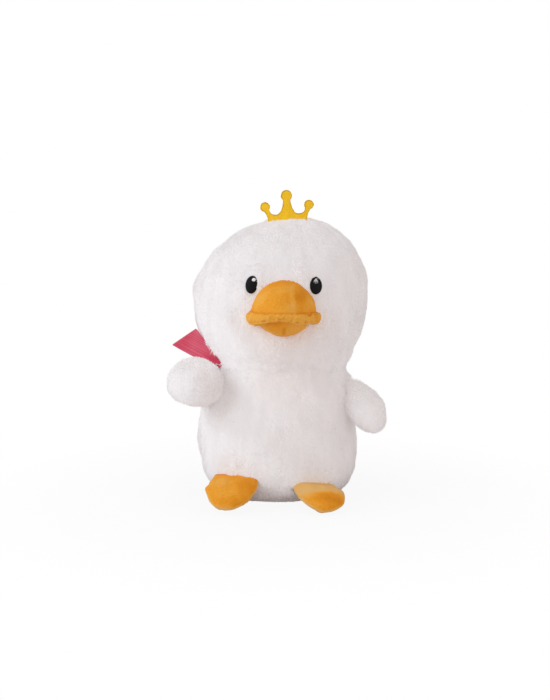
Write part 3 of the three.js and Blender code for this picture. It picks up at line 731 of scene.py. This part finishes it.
def wing_rings(pose, rows=48, sides=64):
    turn = pose["side"] * WING["seam_turn"]
    point, normal = egg_point(TORSO, WING["height"], turn)
    level = unit(np.array([-normal[1], normal[0], 0.0]))
    along = unit(np.cross(normal, level))
    along = -along if along[2] < 0 else along
    start = point + normal * (WING["nose"] + WING["gap"])
    reach = np.array([pose["tip"][0] * pose["side"], pose["tip"][1], pose["tip"][2]], float)
    end = start + unit(reach) * (WING["length"] - pose["short"])
    bend = start + normal * WING["length"] * pose["bend"]
    nose = WING["nose"] / WING["length"]
    part = (1 + nose) * np.sin(np.pi / 2 * np.arange(rows) / rows) - nose
    t = np.maximum(0.0, part)[:, None]
    centre = (1 - t) ** 2 * start + 2 * t * (1 - t) * bend + t * t * end
    tangent = unit(2 * (1 - t) * (bend - start) + 2 * t * (end - bend))
    centre = centre + tangent * np.minimum(0.0, part)[:, None] * WING["length"]
    thick = unit(np.cross(tangent, along))
    wide = unit(np.cross(thick, tangent))
    swell = smoothstep(part, WING["slim"], WING["fullest"])
    past = np.maximum(0.0, (part - WING["fullest"]) / (1 - WING["fullest"]))
    rounded = np.sqrt(np.maximum(0.0, 1 - past ** 2))
    blunt = np.where(part < 0, WING["blunt"], 1.0)
    sag, wider = (np.interp(part, WING["at"], pose[k]) for k in ("sag", "wider"))
    half_wide = WING["seam_half"] + (pose["half_width"] - WING["seam_half"]) * swell + wider
    half_thick = WING["nose"] + (pose["half_thickness"] - WING["nose"]) * swell
    rings = tube(centre - wide * sag[:, None], wide, thick, np.maximum(WING["least"], half_wide * rounded),
                 np.maximum(WING["least"], half_thick * rounded * blunt), sides)
    return rings, rings[0].mean(0), end


for wing_name, wing_pose in WING_POSES.items():
    wing = Skin(*wing_rings(wing_pose))
    wing.lift(0.5 * LUMPS(wing.points))
    wing_piece = plush_piece(f"{wing_name}_skin", wing, wing_name)
    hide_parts(f"{wing_name}_cover", f"{wing_name}_stuffing")
    set_fur(f"{wing_name}_fur", wing, wing_name, WING_PILE, lambda p, n: np.ones(len(p)), 1)


# Tail

def tail_rings(rows=24, sides=40):
    point, normal = egg_point(TORSO, TAIL["height"], math.pi)
    level = unit(np.array([0.0, normal[1], 0.0]))
    along = level * math.cos(TAIL["rise"]) + np.array(UP) * math.sin(TAIL["rise"])
    up = unit(np.cross(LEFT, along))
    angle = np.pi / 2 * np.arange(rows) / rows
    radius = TAIL["radius"] * np.cos(angle) ** TAIL["blunt"]
    root, end = point - along * TAIL["root"], point + along * TAIL["length"]
    line = root + np.outer(np.sin(angle), end - root)
    return tube(line, LEFT, up, radius, TAIL["flat"] * radius, sides), root, end


def tail_keep(place, normal):
    return np.where(place[:, 1] > 62, 1.0, 0.0)


tail = Skin(*tail_rings())
tail_piece = plush_piece("tail_skin", tail, "torso")
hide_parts("tail_cover", "tail_stuffing")
set_fur("tail_fur", tail, "torso", TAIL_PILE, tail_keep, 1)


# Padded velour: every point holds a value for how light its pile lies, with painted shade added in creases
# and dents

def set_nap_and_shade(piece, points, base, spots, waves=0.05, rim=0.0):
    """Gives each point a value of pile tone and painted shade: a base, slow waves, soft spots of (place,
    radius, amount), a rim.
    """
    nap_and_shade = base + waves * NAP(points)
    for place, radius, amount in spots:
        nap_and_shade = nap_and_shade + amount * blob(points, place, radius, 4)
    set_values(piece, "nap_and_shade", np.clip(np.clip(nap_and_shade, 0, 1) + rim, 0, 1))


# Bill, in the face's own frame: X across, -Y out of the face, Z up

def dome_rings(form, sign, rows=56, sides=150):
    """Upper (1) or lower (-1) half of the bill, closed by a flat face at the mouth."""
    half_gap = 0.15
    angle = np.pi / 2 * np.arange(rows) / rows
    height = MOUTH + sign * (half_gap + form["height"] * np.append(np.sin(angle), 1.0))
    line = np.outer(height, UP) + np.array(AHEAD) * BILL_ROOT
    flat = np.cos(angle)
    rings = tube(line[:-1], AHEAD, LEFT, form["length"] * flat, form["half_width"] * flat, sides)
    return rings, line[0], line[-1]


def fold(points, start, end, width, depth):
    """Depth of a crease along the line from start to end, at each point."""
    share, away = beside(points, start, end)
    return depth * bell(away, width) * np.sin(np.pi * np.clip(share, 0.08, 0.92))


def bill_piece(name, skin, cloth, base, spots, waves=0.05):
    piece = make_piece(name, face_frame(skin.points), skin.faces, cloth, "torso")
    set_nap_and_shade(piece, skin.points, base, spots, waves)
    return piece


def upper_bill():
    skin = Skin(*dome_rings(UPPER, 1))
    p = skin.points
    above = p[:, 2] - MOUTH
    gather = np.exp(-above / 3.0)
    crest = 1 - 0.8 * bell(above - UPPER["height"], 9)
    amount = 0.3 * WRINKLE(p) * crest + 0.35 * gather * PUCKER(p) - 0.7 * bell(above, 2.2)
    amount -= fold(p, (15, -98, MOUTH + 1), (20, -93, MOUTH + 7), 1.6, 1.6)
    amount -= fold(p, (9, -97, MOUTH + 20), (16, -90, MOUTH + 10), 5.0, 0.5)
    skin.lift(np.where(above < 0.3, 0, amount))
    piece = bill_piece("upper_bill_pad", skin, VELOUR, 0.43, [
        ((13.5, -90, MOUTH + 22), (6.5, 40, 6.5), -0.14),
        ((13, -90, MOUTH + 12), (4, 40, 8), -0.06),
        ((-3, -95, MOUTH + 10), (15, 40, 8), 0.04),
        ((22, -84, MOUTH + 10), (6, 40, 12), 0.05),
        ((-24, -75, MOUTH + 10), (7, 40, 14), 0.05),
        ((0, -80, MOUTH + 33), (14, 40, 5), -0.06),
        ((6.5, -90, MOUTH + 18), (2.5, 40, 12), 0.10),
        # Darker band along the dome's lower edge beside the roll: painted shade in the crease.
        ((0, -70, MOUTH + 4.8), (60, 60, 1.0), -0.16)], 0.03)
    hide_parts("upper_bill", "upper_bill_stuffing")


def lower_bill():
    skin = Skin(*dome_rings(dict(LOWER, height=LOWER["height"] + 1.2), -1))
    p = skin.points
    below = MOUTH - p[:, 2]
    amount = 0.3 * WRINKLE(p) + 0.3 * np.exp(-below / 3.0) * PUCKER(p)
    amount -= fold(p, (1.2, -90, MOUTH - 10), (0.2, -84, MOUTH - 15), 0.7, 1.5)
    amount -= fold(p, (1.2, -93, MOUTH - 6), (-1.0, -80, MOUTH - 16.5), 4.0, 0.35)
    skin.lift(np.where(below < 0.3, 0, amount))
    piece = bill_piece("lower_bill_pad", skin, VELOUR, 0.50, [
        ((-8, -88, MOUTH - 8), (8, 40, 6), -0.05),
        ((11, -86, MOUTH - 9), (9, 40, 6), 0.03),
        # Narrow dark line down the middle under the mouth: painted shade in the crease of the dart.
        ((-1, -86, MOUTH - 13), (1.6, 40, 4), -0.25)], 0.03)
    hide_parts("lower_bill", "lower_bill_stuffing")


LIP_PARTS = (0, 0.06, 0.14, 0.24, 0.344, 0.447, 0.52, 0.586, 0.695, 0.735, 0.79, 0.86, 0.93, 1)
LIP_RADII = (5.9, 6.4, 6.1, 5.0, 4.0, 3.4, 3.7, 4.5, 4.4, 4.0, 4.9, 4.9, 5.4, 5.2)
LIP_RISES = (-0.9, -1.1, -1.2, -0.7, 0.5, 1.5, 1.0, 0.0, -0.4, -0.2, -0.4, -0.8, -1.0, -0.8)


def soft_curve(share, at, values):
    """Smooth curve through the values at the given shares, by cubic pieces that meet in slope."""
    at, values = np.asarray(at, float), np.asarray(values, float)
    slopes = np.gradient(values, at)
    i = np.clip(np.searchsorted(at, share, side="right") - 1, 0, len(at) - 2)
    gap = at[i + 1] - at[i]
    t = (share - at[i]) / gap
    return ((2 * t ** 3 - 3 * t ** 2 + 1) * values[i] + (t ** 3 - 2 * t ** 2 + t) * gap * slopes[i]
            + (3 * t ** 2 - 2 * t ** 3) * values[i + 1] + (t ** 3 - t ** 2) * gap * slopes[i + 1])


def lip_line(share):
    """Middle line of the roll, and its direction."""
    angle = (np.pi + 2 * LIP["wrap"]) * share - LIP["wrap"]
    line = np.stack([-np.cos(angle) * (UPPER["half_width"] - LIP["inset"]),
                     -BILL_ROOT - np.sin(angle) * (UPPER["length"] - LIP["inset"]),
                     MOUTH + soft_curve(share, LIP_PARTS, LIP_RISES)], -1)
    line[:, 0] += 2.2 * smoothstep(share, 0.16, 0) - 0.8 * smoothstep(share, 0.88, 1)
    return line, unit(np.gradient(line, axis=0))


def lip_frame(share):
    line, along = lip_line(share)
    across = unit(np.stack([along[:, 1], -along[:, 0], 0 * along[:, 0]], -1))
    return line, across, unit(np.cross(along, across))


def lip_point(share):
    return lip_line(np.array([share, 1.0]))[0][0]


def bill_lip():
    rows, sides = 280, 56
    share = np.linspace(0, 1, rows)
    line, across, up = lip_frame(share)
    radius = soft_curve(share, LIP_PARTS, LIP_RADII)
    close = np.minimum(share, 1 - share) / 0.02
    radius = radius * np.sqrt(1 - np.clip(1 - close, 0, 0.96) ** 2)
    skin = Skin(tube(line, across, up, radius, radius, sides), line[0], line[-1])
    p = skin.points
    pinch, bulge = (lip_point(0.735) + away for away in ([0, -1.5, 3.4], [3.4, 1.0, 2.2]))
    neck = lip_point(0.85)
    skin.lift(0.34 * PUCKER(p) + 0.24 * WRINKLE(p) + 0.14 * CRUMPLE(p) - 1.9 * blob(p, pinch, (1.5, 3.0, 1.5))
              + 1.0 * blob(p, bulge, (2.2, 3.0, 2.2)) - 0.7 * blob(p, neck, (1.4, 3.0, 6.0)))
    piece = bill_piece("bill_lip_roll", skin, ROLL_VELOUR, 0.48, [
        ((-29, -70, MOUTH - 1), (8, 16, 8), 0.05),
        # Darker in the pinch: painted shade in the dent.
        (pinch, (2.2, 5, 2.2), -0.5),
        # Darker over the dent at the roll's narrow neck: painted shade.
        ((27, -80, MOUTH + 1), (3, 8, 4), -0.12),
        # Darker along the roll's top, where it meets the dome: painted shade in the crease.
        ((0, -85, MOUTH + 6.0), (60, 60, 1.9), -0.16)])
    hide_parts("bill_lip")


def lip_seam():
    """Turned edge of the cloth along the under side of the roll, with its small stitches."""
    rows, sides = 520, 10
    share = np.linspace(0.1, 0.9, rows)
    line, across, up = lip_frame(share)
    radius = soft_curve(share, LIP_PARTS, LIP_RADII)
    low = math.radians(52)
    middle = line + (across * math.cos(low) + up * math.sin(low)) * (radius + 0.05)[:, None]
    stitch = 0.52 + 0.13 * np.abs(np.sin(np.arange(rows) * np.pi / 6.0)) + 0.06 * PUCKER(middle)
    skin = Skin(tube(middle, across, up, stitch, stitch, sides), middle[0], middle[-1])
    bill_piece("bill_lip_seam", skin, VELOUR, 0.85, [])


upper_bill()
lower_bill()
bill_lip()
lip_seam()


# Eyes: satin stitch, with rows of thread across each oval

def satin_oval(name, axes, half, proud, ridge, thread, slant, node, shine=None):
    """Domed oval whose surface is laid in parallel threads, sunk a little into the plush."""
    centre, right, inward, up = axes
    rows, sides, relief, sunk = 60, 180, 0.09, 1.2
    turn = full_turn(sides)
    spread = np.concatenate([np.sin(np.linspace(0, np.pi / 2, rows))[1:], [1.0]])
    x = np.outer(spread, np.cos(turn)) * half[0]
    z = np.outer(spread, np.sin(turn)) * half[1]
    height = proud * np.sqrt(np.maximum(0, 1 - (spread ** 2) * 0.97))[:, None] * np.ones(sides)
    across = z * math.cos(slant) - x * math.sin(slant)
    height = height + relief * np.abs(np.sin(np.pi * across / ridge)) * (spread < 0.995)[:, None]
    edge = 1 + 0.012 * np.sin(turn * 37) + 0.01 * np.sin(turn * 61)
    x[-6:] *= edge
    z[-6:] *= edge
    height[-1] = -sunk
    rings = centre + x[..., None] * right + z[..., None] * up - height[..., None] * inward
    skin = Skin(rings, centre - inward * proud, centre + inward * sunk)
    piece = make_piece(name, skin.points, skin.faces, thread[0], "torso")
    if shine is not None:
        set_values(piece, "shine", np.append(shine(x / half[0], z / half[1]).ravel(), [1.0, 0.5]))
    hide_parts(node)


def crisp(x, z):
    """A white spot, greyer along its lower edge."""
    return 1 - 0.75 * smoothstep(-z, 0.45, 1.0)


def fanned(x, z):
    """A fan of white strokes that opens and fades downwards."""
    reach = np.hypot(x + 0.1, 0.95 - z)
    turn = np.arctan2(x + 0.1, 0.95 - z)
    inside = smoothstep(np.abs(turn), 0.85, 0.6)
    strokes = 0.72 + 0.4 * np.cos(13 * turn + 0.8)
    return np.clip(inside * strokes * (1.1 - 0.8 * smoothstep(reach, 0.5, 1.8)), 0, 1)


def eyes():
    for side, name in ((1, "left"), (-1, "right")):
        centre, right, inward, up = EYE_FRAMES[side]
        half = (EYES["width"] / 2 - EYES["trim"][side], EYES["tall"] / 2 - 0.2)
        satin_oval(f"eye_{name}_stitches", EYE_FRAMES[side], half, EYES["proud"], 0.55,
                   (BLACK, "black_thread"), math.radians(8) * side, f"eye_{name}")
        glint = GLINTS[side]
        spot = (centre - right * glint["inward"] * side + up * glint["rise"]
                - inward * (EYES["proud"] * 0.78 + 0.15))
        satin_oval(f"eye_glint_{name}_stitches", (spot, right, inward, up), glint["half"], 0.75, 0.5,
                   (GLINT, "white_thread"), math.radians(-30) * side, f"eye_glint_{name}",
                   crisp if side < 0 else fanned)


eyes()


# Crown: felt cut by hand to a smooth outline

def smooth_loop(points, steps):
    """Closed curve through points, so many steps between neighbours."""
    points = np.asarray(points, float)
    before, after, beyond = (np.roll(points, k, axis=0) for k in (1, -1, -2))
    out = []
    for t in np.linspace(0, 1, steps, endpoint=False):
        out.append(0.5 * (2 * points + (after - before) * t
                          + (2 * before - 5 * points + 4 * after - beyond) * t ** 2
                          + (3 * points - before - 3 * after + beyond) * t ** 3))
    return np.stack(out, 1).reshape(-1, 2)


def ball_points(ball, first, last, count):
    angles = np.radians(np.linspace(first, last, count))
    return np.stack([ball["x"] + ball["radius"] * np.cos(angles),
                     ball["y"] + ball["radius"] * np.sin(angles)], -1)


def bent(start, bend, end, count):
    """Points of a curve from start toward bend and on to end, without its ends."""
    t = np.linspace(0, 1, count + 2)[1:-1, None]
    start, bend, end = (np.asarray(v, float) for v in (start, bend, end))
    return (1 - t) ** 2 * start + 2 * t * (1 - t) * bend + t * t * end


def crown_half():
    """Right half of the outline, from the top of the middle ball down to the middle of the foot."""
    middle, side, valley = CROWN["middle"], CROWN["side"], np.array(CROWN["valley"])
    spread = math.degrees(math.asin(middle["neck"] / middle["radius"]))
    top = ball_points(middle, 90, -90 + spread, 9)
    toward = math.degrees(math.atan2(-side["y"], CROWN["half_base"] - side["neck"] - side["x"]))
    spread = math.degrees(math.asin(side["neck"] / side["radius"]))
    ball = ball_points(side, toward - spread + 360, toward + spread, 14)
    low = [valley + (np.array([point[0], valley[1]]) - valley) * [CROWN["hollow"], 1]
           for point in (top[-1], ball[0])]
    foot = [(20.3, 6.4), (18.9, 2.2), (18.5, -2.0), (18.1, -6.6), (12.0, -7.0), (5.0, -7.0)]
    return np.concatenate([top, bent(top[-1], low[0], valley, 6), [valley],
                           bent(valley, low[1], ball[0], 4), ball, foot])


def inside_loop(points, loop):
    """Whether points lie inside a closed line."""
    x, y = points[:, :1], points[:, 1:]
    x0, y0 = loop.T
    x1, y1 = np.roll(loop, -1, axis=0).T
    slope = (x1 - x0) / np.where(y1 == y0, 1e-9, y1 - y0)
    crossing = ((y0 > y) != (y1 > y)) & (x < x0 + (y - y0) * slope)
    return crossing.sum(1) % 2 == 1


def filled(loop, step):
    """Points and triangles that fill a closed line with an even net; the line's points come first."""
    low, high = loop.min(0), loop.max(0)
    grid = np.stack(np.meshgrid(np.arange(low[0], high[0], step), np.arange(low[1], high[1], step)), -1)
    grid[1::2, :, 0] += step / 2
    grid = grid.reshape(-1, 2)
    gap = np.min(np.linalg.norm(grid[:, None] - loop[None], axis=2), axis=1)
    grid = grid[inside_loop(grid, loop) & (gap > 0.6 * step)]
    points = np.concatenate([loop, grid])
    edges = [(i, (i + 1) % len(loop)) for i in range(len(loop))]
    _, _, triangles, sources, _, _ = delaunay_2d_cdt([Vector(p) for p in points], edges, [], 1, 1e-6)
    first = np.array([source[0] for source in sources])
    return points, first[np.array(triangles)]


def crown():
    right = crown_half()
    left = (right * [-1, 1])[::-1][:-1]
    outline = smooth_loop(np.concatenate([right, left]), 3)
    level = np.zeros(len(outline))
    outline += 0.1 * np.stack([PUCKER(np.c_[outline * 1.3, level]), PUCKER(np.c_[level, outline])], -1)
    ahead = unit(np.roll(outline, -1, axis=0) - np.roll(outline, 1, axis=0))
    inward = np.stack([ahead[:, 1], -ahead[:, 0]], -1)
    half = CROWN["thickness"] / 2
    count = len(outline)
    flat, triangles = filled(outline + 0.55 * inward, 1.0)
    rim = [upright(outline + inset * inward, -half * depth)
           for inset, depth in ((0.16, 0.85), (0.0, 0.4), (0.0, -0.4), (0.16, -0.85))]
    points = np.concatenate([upright(flat, -half), upright(flat, half), *rim])
    starts = [0, *(2 * len(flat) + k * count for k in range(4)), len(flat)]
    here = np.arange(count)
    after = (here + 1) % count
    walls = [np.stack([a + here, a + after, b + after, b + here], -1) for a, b in zip(starts, starts[1:])]
    points[:, 1] += 0.0022 * points[:, 0] ** 2 + 0.16 * WRINKLE(points * [1, 0, 1])
    c, s = math.cos(CROWN["tilt"]), math.sin(CROWN["tilt"])
    place = np.stack([points[:, 0] * c - points[:, 2] * s, points[:, 1],
                      points[:, 0] * s + points[:, 2] * c], -1) + [CROWN["x"], CROWN["y"], CROWN["z"]]
    faces = [np.concatenate(walls)[:, ::-1], triangles, triangles[:, ::-1] + len(flat)]
    piece = make_piece("felt_crown", place, faces, FELT, "torso")
    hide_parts("crown")


crown()


# Feet: puffed pads with a turned seam round the edge

BACK = ((0, 3.2), (8, 3.2), (14, 3.1), (18.8, 2.4))
FOOT_EDGES = dict(
    foot_right=(((20.2, -1), (21.6, -7), (23.2, -14), (24.1, -18.6), (24.0, -20.2), (22.0, -26), (18.6, -34),
                 (13.0, -41.8), (6.5, -46.6)),
                ((21.4, 0), (23.0, -8), (23.2, -16), (20.8, -27), (16.2, -37), (10.4, -43.8), (5, -47.2))),
    foot_left=(((20.8, -1), (23.0, -8), (24.8, -16), (24.8, -24), (22.0, -34), (17.0, -41), (9.5, -46.2)),
               ((18.6, 0), (20.2, -7), (20.0, -14), (17.6, -24), (14.0, -32.5), (9.0, -40), (4, -45.6))))
FOOT_BACKS = dict(foot_right=(0.40, 0.55), foot_left=(0.45, 1.0))
FOOT_DROOPS = dict(foot_right=0.0, foot_left=4.0)
FOOT_SPOTS = dict(
    foot_right=[((-14, -16, 6), (12, 20, 60), 0.08), ((16, -18, 6), (9, 22, 60), -0.06),
                # The first spot below, a dark band along the back edge where the pad meets the body, is
                # painted shade.
                ((0, 1.0, 4), (24, 2.0, 9), -0.3), ((-4, -47, 2), (16, 3, 60), 0.06)],
    foot_left=[((4, -6, 6), (30, 22, 60), 0.45), ((8, -33, 7), (13, 7, 60), -0.24),
               ((-8, -42, 3), (12, 6, 60), 0.06)])


def foot_outline(name, side, sides):
    """Edge of a pad as reach by turn round its middle; its outer half comes first in the values."""
    outer, inner = FOOT_EDGES[name]
    back = [(-x, y) for x, y in BACK[:0:-1]]
    loop = np.array([*BACK, *outer, (0, -48.0), *((-x, y) for x, y in inner[::-1]), *back], float)
    loop = smooth_loop(loop, 12)
    loop[:, 0] *= side
    loop[:, 1] += FOOT["widest"]
    angle = np.arctan2(loop[:, 1], loop[:, 0])
    order = np.argsort(angle)
    turn = np.linspace(-np.pi, np.pi, sides, endpoint=False)
    reach = np.interp(turn, angle[order], np.hypot(loop[:, 0], loop[:, 1])[order], period=2 * np.pi)
    return turn, reach


def foot_pad(name, side):
    origin, axes = FOOT_FRAMES[name]
    sides, rows, edge = 220, 44, 0.25
    turn, reach = foot_outline(name, side, sides)
    rings = []
    for sign, thickness in ((-1, FOOT["sole"]), (1, FOOT["top"])):
        spread = np.cos(np.pi / 2 * np.arange(rows) / rows)
        for scale in spread if sign > 0 else spread[::-1]:
            dome = (1 - scale ** 2.4) ** 0.52
            x = np.cos(turn) * reach * scale
            y = np.sin(turn) * reach * scale - FOOT["widest"]
            lower = np.interp(x * side, (-12, 16), FOOT_BACKS[name]) * smoothstep(y, -18, -2)
            height = sign * (edge + (thickness - edge) * dome * (1 - lower * (sign > 0)))
            droop = FOOT_DROOPS[name] * smoothstep(x * side, -2, 20) * smoothstep(y, -26, -2)
            rings.append(np.stack([x, y, height - droop], -1))
    skin = Skin(rings, [0, -FOOT["widest"], -FOOT["sole"]], [0, -FOOT["widest"], FOOT["top"]])
    p = skin.points
    ahead = smoothstep(p[:, 1], -2, -16)
    amount = ahead * (0.35 * WRINKLE(p * 0.8) + 0.30 * np.exp(-np.abs(p[:, 2]) / 2.0) * PUCKER(p))
    ridge = bell(p[:, 2], 0.8)
    skin.lift(amount * (1 - ridge) + 0.35 * ridge)
    place = skin.points @ axes + origin
    place[:, 2] = np.maximum(place[:, 2], 0.3)
    piece = make_piece(f"{name}_pad", place, skin.faces, FOOT_VELOUR, name)
    set_nap_and_shade(piece, skin.points, 0.46, FOOT_SPOTS[name], 0.03, 0.25 * bell(p[:, 2], 1.7) * ahead)
    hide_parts(f"{name}_upper", f"{name}_sole", f"{name}_stuffing")


for foot_name, foot_side in (("foot_left", 1), ("foot_right", -1)):
    foot_pad(foot_name, foot_side)


# Swing tag: bare card on a thread of two twisted strands

def tag_place(points):
    """Points of the card's own frame, X and Z in its plane, in the toy's frame."""
    return np.asarray(points, float) @ np.array(TAG["axes"]) + TAG["hole"]


def tag_outline(turn):
    """Edge of the card as reach from the hole, with slightly rounded corners."""
    corners = np.array(TAG["corners"])
    ahead = np.roll(corners, -1, axis=0) - corners
    out = unit(np.stack([ahead[:, 1], -ahead[:, 0]], -1))
    out *= np.sign((out * (corners - corners.mean(0))).sum(1))[:, None]
    far = (out * corners).sum(1)
    toward = np.stack([np.cos(turn), np.sin(turn)], -1) @ out.T
    inverse = np.maximum(toward, 1e-3) / far
    return (inverse ** 26).sum(1) ** (-1 / 26)


def swing_tag():
    sides, rows = 420, 30
    turn = full_turn(sides)
    reach = tag_outline(turn)
    way = np.stack([np.cos(turn), np.sin(turn)], -1)
    half = TAG["thickness"] / 2
    rings = []
    for side in (-1, 1):
        shares = np.linspace(0, 1, rows) ** 1.2
        for share in shares if side < 0 else shares[::-1]:
            far = TAG["opening"] + (reach - TAG["opening"]) * share
            flat = way * far[:, None]
            soft = half * (1 - 0.4 * (share > 0.999))
            bow = 0.0011 * (flat[:, 0] + 18) ** 2 - 0.35
            rings.append(upright(flat, bow + side * soft))
    points = np.concatenate(rings)
    quads = net_faces(2 * rows, sides, True)[:, [0, 3, 2, 1]]
    piece = make_piece("swing_tag_card", tag_place(points), [quads], CARD, "tag",
                       smooth=False)
    long_way = unit(np.array([48.6, -22.0]))
    set_values(piece, "along", points[:, [0, 2]] @ long_way)
    set_values(piece, "across", points[:, [0, 2]] @ [-long_way[1], long_way[0]])
    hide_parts("hang_tag")


def tag_thread():
    """The loop through the hole, two strands wound round each other."""
    steps, sides, twists, apart = 260, 8, 22, 0.15
    turn = full_turn(steps)
    radius = TAG["loop"]
    middle = np.c_[radius - radius * np.cos(turn), radius * np.sin(turn), 0 * turn]
    out = unit(middle - [radius, 0, 0])
    thick = TAG["thread"]
    points, quads = [], []
    for strand in (0, 1):
        phase = (twists * turn + np.pi * strand)[:, None]
        core = middle + apart * (np.cos(phase) * out + np.sin(phase) * UP)
        points.append(tube(core, out, UP, thick, thick, sides).reshape(-1, 3))
        quads.append(net_faces(steps, sides, True)[:, [0, 3, 2, 1]] + strand * steps * sides)
    piece = make_piece("tag_thread", tag_place(np.concatenate(points)), quads, WHITE_THREAD, "torso")
    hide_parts("tag_loop")


swing_tag()
tag_thread()


# Stage, light and camera

def in_view(tree):
    """1 for rays from the camera and for glossy ones, 0 for the rest."""
    rays = add_node(tree, "LightPath").outputs
    return maths(tree, "MAXIMUM", rays["Is Camera Ray"], rays["Is Glossy Ray"])


def show_mix(tree, output, share, usual, shown):
    """Output that is one shader and, by the share, another."""
    mixed = add_node(tree, "MixShader", {"Fac": share, 1: usual.outputs[0], 2: shown.outputs[0]})
    add_node(tree, output, {"Surface": mixed.outputs[0]})


def floor():
    half = 3.0
    mesh = bpy.data.meshes.new("floor")
    mesh.from_pydata([(-half, -half, 0), (half, -half, 0), (half, half, 0), (-half, half, 0)], [],
                     [(0, 1, 2, 3)])
    piece = placed("floor", mesh)
    made = bpy.data.materials.new("floor_white")
    made.use_nodes = True
    tree = made.node_tree
    tree.nodes.clear()
    place = add_node(tree, "TexCoord").outputs["Object"]
    far = add_node(tree, "VectorMath", {0: place}, operation="LENGTH").outputs["Value"]
    fade = add_node(tree, "MapRange", {"Value": far, "From Min": 0.12, "From Max": 0.36, "To Min": 0.92},
                    interpolation_type="SMOOTHSTEP")
    # Floor colour much darker within about 0.15 m of the toy: a painted contact shadow, which also darkens
    # the light bounced up onto the toy's underside.
    painted_contact_shadow = ramp(tree, far, [(0.06, (0.4, 0.35, 0.34)), (0.15, (0.84, 0.81, 0.81))])
    share = maths(tree, "MULTIPLY", in_view(tree), fade.outputs["Result"])
    show_mix(tree, "OutputMaterial", share, add_node(tree, "BsdfDiffuse", {"Color": painted_contact_shadow}),
             add_node(tree, "Emission"))
    mesh.materials.append(made)


def light(name, place, size, power, colour):
    lamp = bpy.data.lights.new(name, "AREA")
    lamp.shape = "SQUARE"
    lamp.size = size
    lamp.energy = power
    lamp.color = colour
    piece = placed(name, lamp)
    piece.location = place
    toy_middle = Vector((0, 0, 0.15))
    piece.rotation_euler = (toy_middle - Vector(place)).to_track_quat("-Z", "Y").to_euler()


def sky():
    world = bpy.data.worlds.new("sky")
    bpy.context.scene.world = world
    world.use_nodes = True
    tree = world.node_tree
    tree.nodes.clear()
    room = add_node(tree, "Background", {"Color": (1.0, 0.935, 0.925, 1), "Strength": 0.67})
    shown = add_node(tree, "Background", {"Color": (1, 1, 1, 1), "Strength": 1.0})
    show_mix(tree, "OutputWorld", in_view(tree), room, shown)


def camera():
    lens = bpy.data.cameras.new("camera")
    lens.sensor_fit = "HORIZONTAL"
    lens.sensor_width = 36.0
    lens.lens = 64.06
    piece = placed("camera", lens)
    piece.location = (-0.00195, -0.970, 0.242)
    piece.rotation_euler = (math.radians(84.09), 0, 0)
    bpy.context.scene.camera = piece


floor()
light("key", (-1.5, -0.47, 0.95), 1.1, 11.9, (0.86, 0.93, 1.0))
light("fill", (1.6, -0.95, 0.25), 1.2, 3.6, (1.0, 0.93, 0.92))
sky()
camera()
bpy.context.scene.view_settings.view_transform = "Standard"
